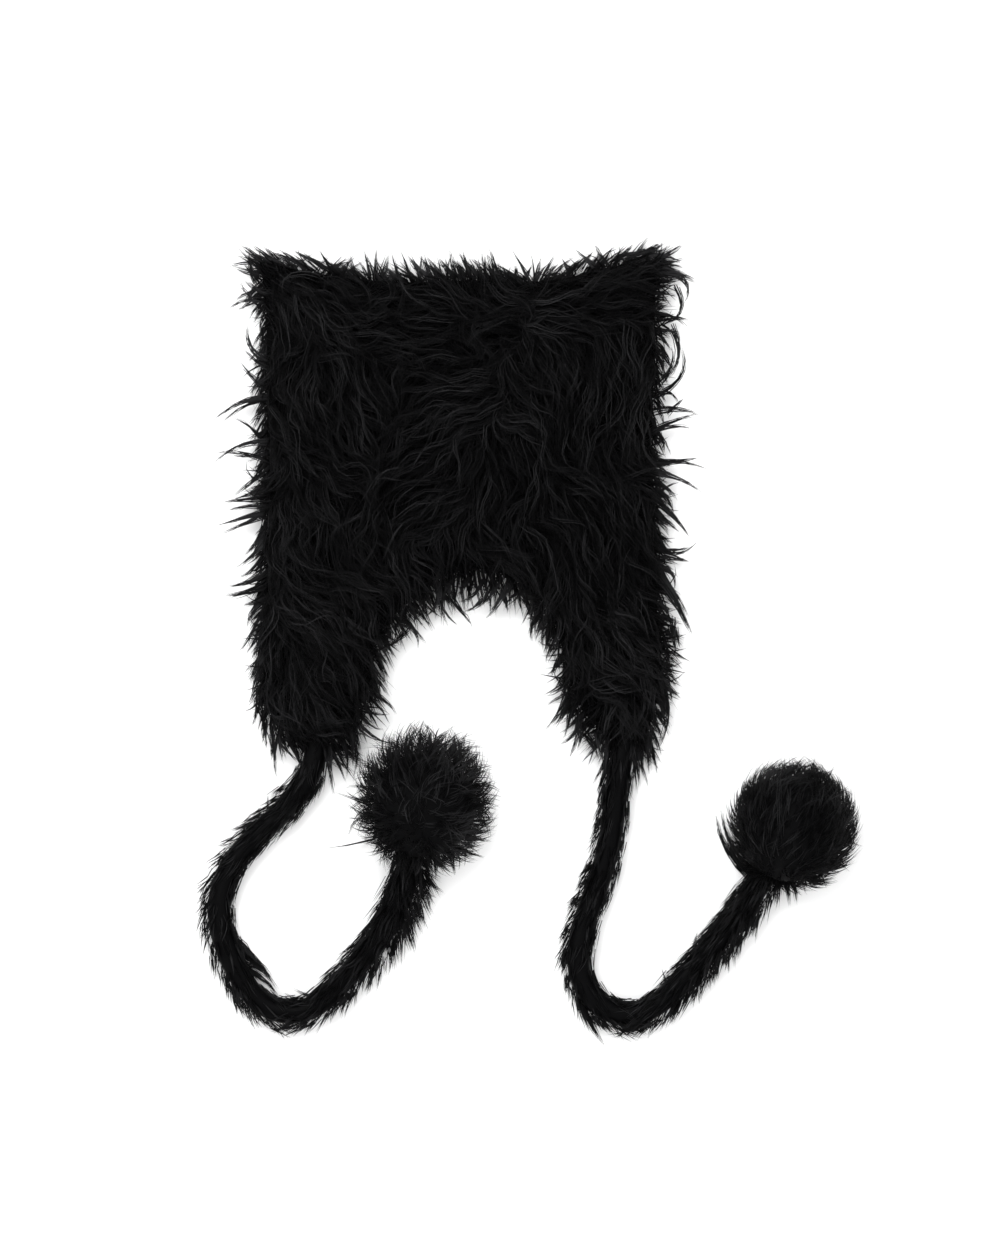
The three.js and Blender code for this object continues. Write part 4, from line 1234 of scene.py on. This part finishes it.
class HAT_OT_pompoms(bpy.types.Operator):
    """The pompoms' stuffed heads, which sag a little on the floor"""

    bl_idname = "hat.pompoms"
    bl_label = "Pompom heads"

    def execute(self, context):
        for side in TIE_ROUTES:
            middle = pompom_middle(side)
            clear_selection()
            bpy.ops.mesh.primitive_ico_sphere_add(subdivisions=4, radius=POMPOM_HEAD, location=(0, 0, 0))
            head = context.active_object
            head.name = head.data.name = f"pompom_head_{side}"
            at = np.array([v.co for v in head.data.vertices])
            out = at / POMPOM_HEAD
            chance = np.random.default_rng(HEAD_SEED[side])
            for _ in range(HEAD_BUMPS):
                pole = chance.normal(0, 1, 3)
                pole /= np.linalg.norm(pole)
                height = HEAD_BUMP_HEIGHT * chance.normal()
                at += out * (height * np.exp(-(((out @ pole - 1) / HEAD_BUMP_REACH) ** 2)))[:, None]
            at[:, 2] *= POMPOM_SAG
            at += middle
            at[:, 2] = np.maximum(at[:, 2], POMPOM_LOWEST)
            head.data.vertices.foreach_set("co", at.astype(np.float32).ravel())
            head.data.update()
            bpy.ops.object.shade_smooth()
            dress(head, "Pressed core", "pompom_fur", f"pompom_{side}")
        return {"FINISHED"}


class HAT_OT_tie_pile(bpy.types.Operator):
    """The pile of the ties and pompoms"""

    bl_idname = "hat.tie_pile"
    bl_label = "Tie and pompom pile"

    def execute(self, context):
        settings = context.scene.hat_sizes
        for side in TIE_ROUTES:
            fur = tie_pile(side, settings)
            ball = pompom_pile(side, settings)
        return {"FINISHED"}


def tie_pile(side, settings):
    """Strands all round a tie. They lie along it and, on the outside of its loop, stand off outwards
    and down. Charted tufts stand off further."""
    chance = np.random.default_rng(settings.seed + TIE_SEED[side])
    line = tie_route(side, TIE_POINTS)
    way = unit(np.gradient(line, axis=0))
    many = 4 * TIE_LOCKS
    i = chance.integers(0, TIE_POINTS - 1, many)
    at = i / (TIE_POINTS - 1)
    round_ = chance.uniform(-0.3, np.pi + 0.3, many)
    out = line[i] - line.mean(axis=0)
    out[:, 2] = 0
    out = unit(out)
    level = unit(np.stack([way[i, 1], -way[i, 0], np.zeros(many)], axis=1))
    above = np.cross(level, way[i])
    above *= np.sign(above[:, 2:3])
    normal = level * np.cos(round_)[:, None] + above * np.sin(round_)[:, None]
    outside = np.clip((normal * out).sum(1), 0, 1)
    low = np.clip(-normal[:, 1], 0, 1) * outside
    near_end = np.clip((at - 0.7) / 0.2, 0, 1)
    wanted = 0.5 + 0.8 * np.cos(round_) ** 2 + 0.6 * outside + 1.2 * low + 1.4 * near_end
    count = TIE_LOCKS
    kept = np.argsort(chance.uniform(0, 1, many) / wanted)[:count]
    i, at, out, normal, outside = (each[kept] for each in (i, at, out, normal, outside))
    tangent = way[i]
    full = 1 + TIE_FLARE[side] * np.clip((at - 0.66) / 0.24, 0, 1)
    deep = chance.uniform(*TIE_DEPTH_MM, count) * (1 + 0.9 * outside) * full
    root = line[i] + normal * (TIE_DIAMETER / 2 + deep * MM)[:, None]
    down = np.array([0.0, -1.0, 0.0])
    sense = np.sign((tangent * down).sum(1))[:, None]
    nap = tangent * sense + down * TIE_HANG + out * TIE_SPREAD * outside[:, None]
    nap = nap + chance.normal(0, TIE_STRAY, (count, 3))
    nap = unit(nap - normal * (nap * normal).sum(1)[:, None])
    length = chance.uniform(*TIE_LENGTH_SPREAD, count) * TIE_PILE_LENGTH * (1 - 0.25 * outside) * full**0.3
    stand = chance.uniform(*TIE_STAND_MM, count) + outside * chance.uniform(*TIE_FRINGE_MM, count)
    stand = stand * full * MM
    t = np.linspace(0, 1, SHORT_LOCK_POINTS)
    swing = np.cross(normal, nap)
    curl = chance.normal(0, TIE_CURL, count)
    locks = root[:, None, :] + nap[:, None, :] * (length[:, None] * t)[..., None]
    locks = locks + normal[:, None, :] * (stand[:, None] * t)[..., None]
    locks = locks + swing[:, None, :] * (length[:, None] * curl[:, None] * t**2)[..., None]
    tufts = TIE_TUFTS[side]
    return strands_on_cord(chance, f"tie_pile_{side}", locks, tufts, settings, "tie_fur", **TIE_SHAPE)


def strands_on_cord(
    chance, name, locks, tufts, settings, slot, each, knots, gather, thickness, light=1.0
):
    """Strands round short lock lines and charted tufts, as one mesh. light scales the locks' tones."""
    owner = np.repeat(np.arange(len(locks)), each)
    total = len(owner)
    own = lines_of_lock(locks, owner, chance.uniform(*SHORT_LENGTHS, total), knots)
    part = np.linspace(0, 1, knots)[None, :, None]
    own = own + chance.normal(0, SHORT_SPREAD, (total, 1, 3)) * (1 - gather * part)
    own = own + chance.normal(0, SHORT_TIP_SPREAD, (total, 1, 3)) * part**2
    shade = SHORT_LOCK_TONE * chance.uniform(0, 1, len(locks))[owner]
    shade = shade + chance.normal(*SHORT_STRAND_TONE, total)
    shade = shade * np.broadcast_to(light, len(locks))[owner]
    lines, numbers = tuft_lines(tufts)
    radius = (1.6 + 0.25 * numbers) * MM
    tuft_strands, tuft_shade = strands_of_locks(
        chance, lines, numbers * 2, radius, settings, knots, SHORT_TUFT_TIGHT
    )
    own = np.concatenate([own, tuft_strands])
    own[..., 2] = np.maximum(own[..., 2], LOWEST_PILE)
    thick = chance.uniform(*SHORT_THICK, len(own)) * settings.strand * thickness
    shade = np.clip(np.concatenate([shade, tuft_shade]), 0, 1)
    return strand_mesh(name, own, thick, shade, "Short pile", slot)


def pompom_pile(side, settings):
    """Locks all over a pompom, which stand off the head and lean away from the tie's entry, with
    charted tufts. Near the entry the locks are darkened as painted shade."""
    chance = np.random.default_rng(settings.seed + POMPOM_SEED[side])
    middle = pompom_middle(side)
    count = POMPOM_LOCKS
    height = 1 - 1.9 * (np.arange(count) + 0.5) / count
    height = np.sign(height) * np.abs(height) ** 1.15 - 0.05 * (1 - height**2)
    turn = np.arange(count) * np.pi * (3 - np.sqrt(5)) + chance.normal(0, 0.1, count)
    level = np.sqrt(np.maximum(0, 1 - height**2))
    normal = np.stack([level * np.cos(turn), level * np.sin(turn), height], axis=1)
    place = middle + normal * POMPOM_RADIUS
    entry = np.array([*spot(*POMPOM_ENTRY[side]), middle[2] + POMPOM_ENTRY_RISE[side]])
    nap = unit(place - entry) + chance.normal(0, POMPOM_STRAY[side], (count, 3))
    nap = unit(nap - normal * (nap * normal).sum(1)[:, None])
    inner = POMPOM_HEAD + chance.uniform(*POMPOM_ROOTS_MM, count) * MM
    reach = POMPOM_REACH[side] + POMPOM_CREST[side] * np.clip(normal[:, 1], 0, 1)
    outer = POMPOM_HEAD + chance.uniform(*POMPOM_REACHES, count) * reach
    from_entry = np.linalg.norm(place - entry, axis=1)
    near_entry = np.clip(from_entry / POMPOM_ENTRY_REACH, 0.3, 1)
    travel = chance.uniform(*POMPOM_TRAVELS, count) * POMPOM_TRAVEL[side] * near_entry
    t = np.linspace(0, 1, SHORT_LOCK_POINTS)[None, :]
    round_ = travel[:, None] * t * (0.6 + 0.4 * t) / POMPOM_BEND_RADIUS
    out = inner[:, None] + (outer - inner)[:, None] * t * (1.25 - 0.25 * t)
    way = normal[:, None, :] * np.cos(round_)[..., None] + nap[:, None, :] * np.sin(round_)[..., None]
    curl = chance.normal(0, POMPOM_CURL, count)[:, None] * t**2
    swing = np.cross(normal, nap)[:, None, :] * curl[..., None]
    locks = (way + swing) * out[..., None]
    locks[..., 2] *= POMPOM_SAG
    locks += middle
    # Painted shade: near where the tie goes in, the pile is darkened down to 0.3 of its tone
    light = np.clip(from_entry / POMPOM_SHADE[side], 0.3, 1)
    patches = POMPOM_PATCHES * drift(place[:, 0], place[:, 1], *SHADE_DRIFT)
    light = light * (POMPOM_LIGHT[side] + patches)
    name, tufts = f"pompom_pile_{side}", POMPOM_TUFTS[side]
    return strands_on_cord(
        chance, name, locks, tufts, settings, "pompom_fur", light=light, **POMPOM_SHAPE
    )


class HAT_OT_crown_cloth(bpy.types.Operator):
    """The crown's two cloth panels and the pile pressed flat under it"""

    bl_idname = "hat.crown_cloth"
    bl_label = "Crown cloth"

    def execute(self, context):
        def front(u, v):
            across, up = 2 * u - 1, v
            x, y = crown_xy(across, up)
            sewn = (np.abs(across) > SEWN_EDGE) | (up > SEWN_EDGE)
            return x, y, SEAM_HEIGHT + CLOTH + fullness(across, up) - sewn * (SEAM_GAP + 0.1 * MM)

        def back(u, v):
            x, y = crown_xy(2 * u - 1, v)
            return x, y, np.full_like(x, FLOOR_OF_HOLLOW)

        def pressed(u, v):
            across = 2 * u - 1
            x, y = crown_xy(across, v)
            x = x - across * PRESSED_INSET * CROWN_PAD_INSET
            y = y + (1 - 2 * v) * PRESSED_INSET * CROWN_PAD_INSET
            return x, y, np.full_like(x, PRESSED_TOP)

        knit = "Knit backing"
        cloth = cloth_grid("crown_cloth_front", 60, 52, front, CLOTH)
        dress(cloth, knit, "long_fur", "crown_front")
        cloth = cloth_grid("crown_cloth_back", 30, 26, back, CLOTH)
        dress(cloth, knit, "pressed_fur", "crown_back")
        pad = cloth_grid("crown_pressed_pile", 30, 26, pressed, PRESSED_DEPTH)
        dress(pad, "Pressed core", "pressed_fur", "crown_back")
        return {"FINISHED"}


class HAT_OT_flap_cloth(bpy.types.Operator):
    """The ear flaps: one panel each, folded round the side of the head and open towards the face"""

    bl_idname = "hat.flap_cloth"
    bl_label = "Ear flap cloth"

    def execute(self, context):
        for side, flap in FLAPS.items():

            def on_flap(u, v, flap=flap):
                inner, outer = flap_edges(flap, v)
                return inner + (outer - inner) * u, -CROWN_BOTTOM - FLAP_DROP * v

            def cover(u, v, flap=flap, on_flap=on_flap):
                x, y = on_flap(u, v)
                return x, y, SEAM_HEIGHT + CLOTH + flap_lift(flap, x, v)

            def under(u, v, on_flap=on_flap):
                x, y = on_flap(u, v)
                return x, y, np.full_like(x, FLOOR_OF_HOLLOW)

            def pressed(u, v, on_flap=on_flap):
                begin, width = FLAP_PAD_WIDTH
                x = on_flap(begin + width * u, v)[0]
                y = -CROWN_BOTTOM + PRESSED_INSET * (1 - v) - FLAP_DROP * (v * FLAP_PAD_LENGTH)
                return x, y, np.full_like(x, FLAP_PRESSED_TOP)

            node = f"ear_flap_{side}"
            dress(cloth_grid(f"flap_cloth_{side}", 28, 30, cover, CLOTH), "Knit backing", "long_fur", node)
            lining = cloth_grid(f"flap_lining_{side}", 24, 26, under, CLOTH)
            dress(lining, "Knit backing", "pressed_fur", node)
            pad = cloth_grid(f"flap_pressed_pile_{side}", 20, 22, pressed, PRESSED_DEPTH)
            dress(pad, "Pressed core", "pressed_fur", node)
        return {"FINISHED"}


class HAT_OT_crown_pile(bpy.types.Operator):
    """The long pile on the crown's upper panel"""

    bl_idname = "hat.crown_pile"
    bl_label = "Crown pile"

    def execute(self, context):
        settings = context.scene.hat_sizes
        chance = np.random.default_rng(settings.seed)
        x, y = scatter(chance, *CROWN_FIELD, settings.spacing)
        across, up = crown_place(x, y)
        kept = (np.abs(across) < SEAM_MARGIN) & (up > RIM_MARGIN) & (up < SEAM_MARGIN)
        x, y = x[kept], y[kept]
        over, under = long_pile(chance, x, y, settings)
        height = over[0][:, 0, 1]
        bands = np.quantile(height, [0, 1 / 3, 2 / 3, 1]) + np.array([-1, 0, 0, 1])
        for name, low, high in zip(("low", "middle", "high"), bands[:-1], bands[1:]):
            part = (height >= low) & (height < high)
            own = [each[part] for each in over]
            strand_mesh(f"crown_pile_{name}", *own)
        strand_mesh("crown_underfur", *under)
        return {"FINISHED"}


class HAT_OT_flap_pile(bpy.types.Operator):
    """The long pile on the ear flaps"""

    bl_idname = "hat.flap_pile"
    bl_label = "Ear flap pile"

    def execute(self, context):
        settings = context.scene.hat_sizes
        bottom, top = FLAP_FIELD_UP
        for side, flap in FLAPS.items():
            chance = np.random.default_rng(settings.seed + FLAP_SEED[side])
            low, high = sorted(flap["side"] * across for across in FLAP_FIELD_ACROSS)
            x, y = scatter(chance, (low, bottom), (high, top), settings.spacing * FLAP_SPACING)
            down = np.clip((-CROWN_BOTTOM - y) / FLAP_DROP, 0, 1)
            inner, outer = flap_edges(flap, down)
            out = (x - inner) / (outer - inner)
            kept = (out > FLAP_MARGIN) & (out < SEAM_MARGIN)
            over, under = long_pile(chance, x[kept], y[kept], settings, FLAP_PILE_SIZE, flap["light"])
            strand_mesh(f"flap_pile_{side}", *over)
            strand_mesh(f"flap_underfur_{side}", *under)
        return {"FINISHED"}


def outline():
    """The hat's outline as points in the plane, counterclockwise from the right flap's tip, with its
    outward way at each."""
    counts = OUTLINE_COUNTS
    down = np.linspace(0, 1, counts["flap"])
    low = -CROWN_BOTTOM - FLAP_DROP * down
    inner, outer = flap_edges(FLAPS["right"], down)
    left_inner, left_outer = flap_edges(FLAPS["left"], down)
    up = np.linspace(0, 1, counts["side"])
    across = np.linspace(1, -1, counts["top"])
    arch = np.linspace(-ARCH_LEFT, ARCH_RIGHT, counts["arch"]) / HALF_WIDTH
    sides = [
        (outer[::-1], low[::-1]),
        crown_xy(np.ones_like(up), up),
        crown_xy(across, np.ones_like(across)),
        crown_xy(-np.ones_like(up), up[::-1]),
        (left_outer, low),
        (left_inner[::-1], low[::-1]),
        (arch * HALF_WIDTH, rim_y(arch)),
        (inner, low),
    ]
    parts = [np.stack(each, axis=1) for each in sides]
    path = np.concatenate(parts + [parts[0][:1]])
    far = np.concatenate([[0], np.cumsum(np.linalg.norm(np.diff(path, axis=0), axis=1))])
    even = np.linspace(0, far[-1], int(far[-1] / OUTLINE_STEP), endpoint=False)
    points = np.stack([np.interp(even, far, path[:, k]) for k in range(2)], axis=1)
    smooth = points
    for _ in range(OUTLINE_SMOOTHING):
        smooth = (np.roll(smooth, 1, 0) + 2 * smooth + np.roll(smooth, -1, 0)) / 4
    way = unit(np.roll(smooth, -1, 0) - np.roll(smooth, 1, 0))
    return points, np.stack([way[:, 1], -way[:, 0]], axis=1)


def edge_strands(chance, count, knots, length, outwards_share, level, spread):
    """Strands from places all round the outline. They leave outwards and turn into the combing."""
    points, outwards = outline()
    i = ((np.arange(count) + chance.uniform(0, 1, count)) * len(points) / count).astype(int)
    out = outwards[i]
    root = points[i] - out * chance.uniform(*EDGE_ROOTS_MM, count)[:, None] * MM
    flow = turned(combing(root[:, 0], root[:, 1]) + chance.normal(0, spread, count))
    against = np.minimum((flow * out).sum(axis=1), 0)
    flow = flow - out * against[:, None] * 1.3
    t = np.linspace(0, 1, knots)[None, :, None]
    leaving = EDGE_LEAVING * (1 - t) ** 1.5 + outwards_share[:, None, None]
    turn = unit(out[:, None] * leaving + flow[:, None] * (0.6 + 1.2 * t))
    straight_out = np.clip((flow * out).sum(axis=1), 0, 1)
    longer_below = 1 + LONGER_BELOW * np.clip(-out[:, 1], 0, 1)
    length = length * longer_below * (1 - SHORTER_BESIDE * straight_out * np.abs(out[:, 0]))
    lines = np.zeros((count, knots, 3))
    lines[:, 1:, :2] = turn[:, 1:].cumsum(axis=1) / (knots - 1) * length[:, None, None]
    lines[..., :2] += root[:, None, :]
    lines[..., 2] = np.maximum(level[:, None] * (1 - 0.45 * t[..., 0] ** 1.5), LOWEST_PILE)
    return lines


def tuft_lines(table):
    """Charted locks as lines, and their numbers of strands."""
    rows = np.asarray(table, float)
    root = np.stack(spot(rows[:, 0], rows[:, 1]), axis=1)
    tip = np.stack(spot(rows[:, 2], rows[:, 3]), axis=1)
    root = root - (tip - root) * TUFT_ROOT
    way = (tip - root) * (1 + TUFT_ROOT)
    aside = np.stack([-way[:, 1], way[:, 0]], axis=1) * rows[:, 4:5]
    t = np.linspace(0, 1, TUFT_POINTS)[None, :, None]
    flat = root[:, None] + way[:, None] * t + aside[:, None] * (4 * t * (1 - t))
    height = over_hat(root[:, 0], root[:, 1])[0][:, None, None]
    level = height * (1 - t) ** 1.5 + (TUFT_LEVEL + TUFT_LEVEL * np.sin(np.pi * t)) * (1 - (1 - t) ** 3)
    return np.concatenate([flat, level], axis=2), rows[:, 5].astype(int)


class HAT_OT_edge_pile(bpy.types.Operator):
    """The pile round the seams and edges: short and dense, with tufts and loose hairs between"""

    bl_idname = "hat.edge_pile"
    bl_label = "Edge pile"

    def execute(self, context):
        settings = context.scene.hat_sizes
        chance = np.random.default_rng(settings.seed + EDGE_SEED)
        count = EDGE_LOCKS
        length = chance.uniform(*EDGE_LENGTH_MM, count) * MM
        level = chance.uniform(*EDGE_LEVEL_MM, count) * MM
        share = chance.normal(*EDGE_OUTWARDS, count)
        locks = edge_strands(chance, count, EDGE_LOCK_KNOTS, length, share, level, EDGE_STRAY)
        tight = chance.uniform(*EDGE_TIGHT, count)
        lines, tone = strands_of_locks(
            chance, locks, EDGE_STRANDS, EDGE_RADIUS, settings, EDGE_KNOTS, tight
        )
        thick = chance.uniform(*EDGE_THICK, len(lines)) * settings.strand
        strand_mesh("edge_underfur", lines, thick, coat_tone(tone))
        locks, each = tuft_lines(TUFTS)
        radius = TUFT_RADIUS + each * TUFT_RADIUS_EACH * MM
        each = each + TUFT_EXTRA_STRANDS
        lines, tone = strands_of_locks(chance, locks, each, radius, settings, TUFT_KNOTS, TUFT_TIGHT)
        thick = chance.uniform(*TUFT_THICK, len(lines)) * settings.strand
        strand_mesh("edge_tufts", lines, thick, coat_tone(tone))
        length = (WISP_LENGTH_MM + WISP_EXTRA_MM * chance.uniform(0, 1, WISPS) ** 2) * MM
        level = chance.uniform(*WISP_LEVEL_MM, WISPS) * MM
        share = chance.normal(*WISP_OUTWARDS, WISPS)
        lines = edge_strands(chance, WISPS, WISP_KNOTS, length, share, level, WISP_STRAY)
        thick = chance.uniform(*WISP_THICK, WISPS) * settings.wisp
        strand_mesh("edge_wisps", lines, thick, chance.uniform(*WISP_TONES, WISPS))
        return {"FINISHED"}


class HAT_PT_panel(bpy.types.Panel):
    """Lists the hat's settings and pieces"""

    bl_idname = "HAT_PT_panel"
    bl_label = "Furry Hat"
    bl_space_type = "VIEW_3D"
    bl_region_type = "UI"
    bl_category = "Furry Hat"

    def draw(self, context):
        layout = self.layout
        for group in (context.scene.hat_sizes, context.scene.hat_colours, context.scene.hat_stage):
            box = layout.box()
            for name in group.bl_rna.properties.keys():
                if name not in ("rna_type", "name"):
                    box.prop(group, name)
        for operator in OPERATORS:
            layout.operator(operator.bl_idname)


OPERATORS = (
    HAT_OT_stage,
    HAT_OT_ties,
    HAT_OT_pompoms,
    HAT_OT_tie_pile,
    HAT_OT_crown_cloth,
    HAT_OT_flap_cloth,
    HAT_OT_crown_pile,
    HAT_OT_flap_pile,
    HAT_OT_edge_pile,
)
GROUPS = {"hat_sizes": HatSizes, "hat_colours": HatColours, "hat_stage": HatStage}


def register():
    for group in GROUPS.values():
        bpy.utils.register_class(group)
    for operator in OPERATORS:
        bpy.utils.register_class(operator)
    bpy.utils.register_class(HAT_PT_panel)
    for name, group in GROUPS.items():
        setattr(bpy.types.Scene, name, PointerProperty(type=group))


def unregister():
    for name in GROUPS:
        delattr(bpy.types.Scene, name)
    bpy.utils.unregister_class(HAT_PT_panel)
    for operator in reversed(OPERATORS):
        bpy.utils.unregister_class(operator)
    for group in reversed(list(GROUPS.values())):
        bpy.utils.unregister_class(group)


def main():
    register()
    bpy.ops.hat.stage()
    bpy.ops.hat.ties()
    bpy.ops.hat.pompoms()
    bpy.ops.hat.tie_pile()
    bpy.ops.hat.crown_cloth()
    bpy.ops.hat.flap_cloth()
    bpy.ops.hat.crown_pile()
    bpy.ops.hat.flap_pile()
    bpy.ops.hat.edge_pile()


if __name__ == "__main__":
    main()
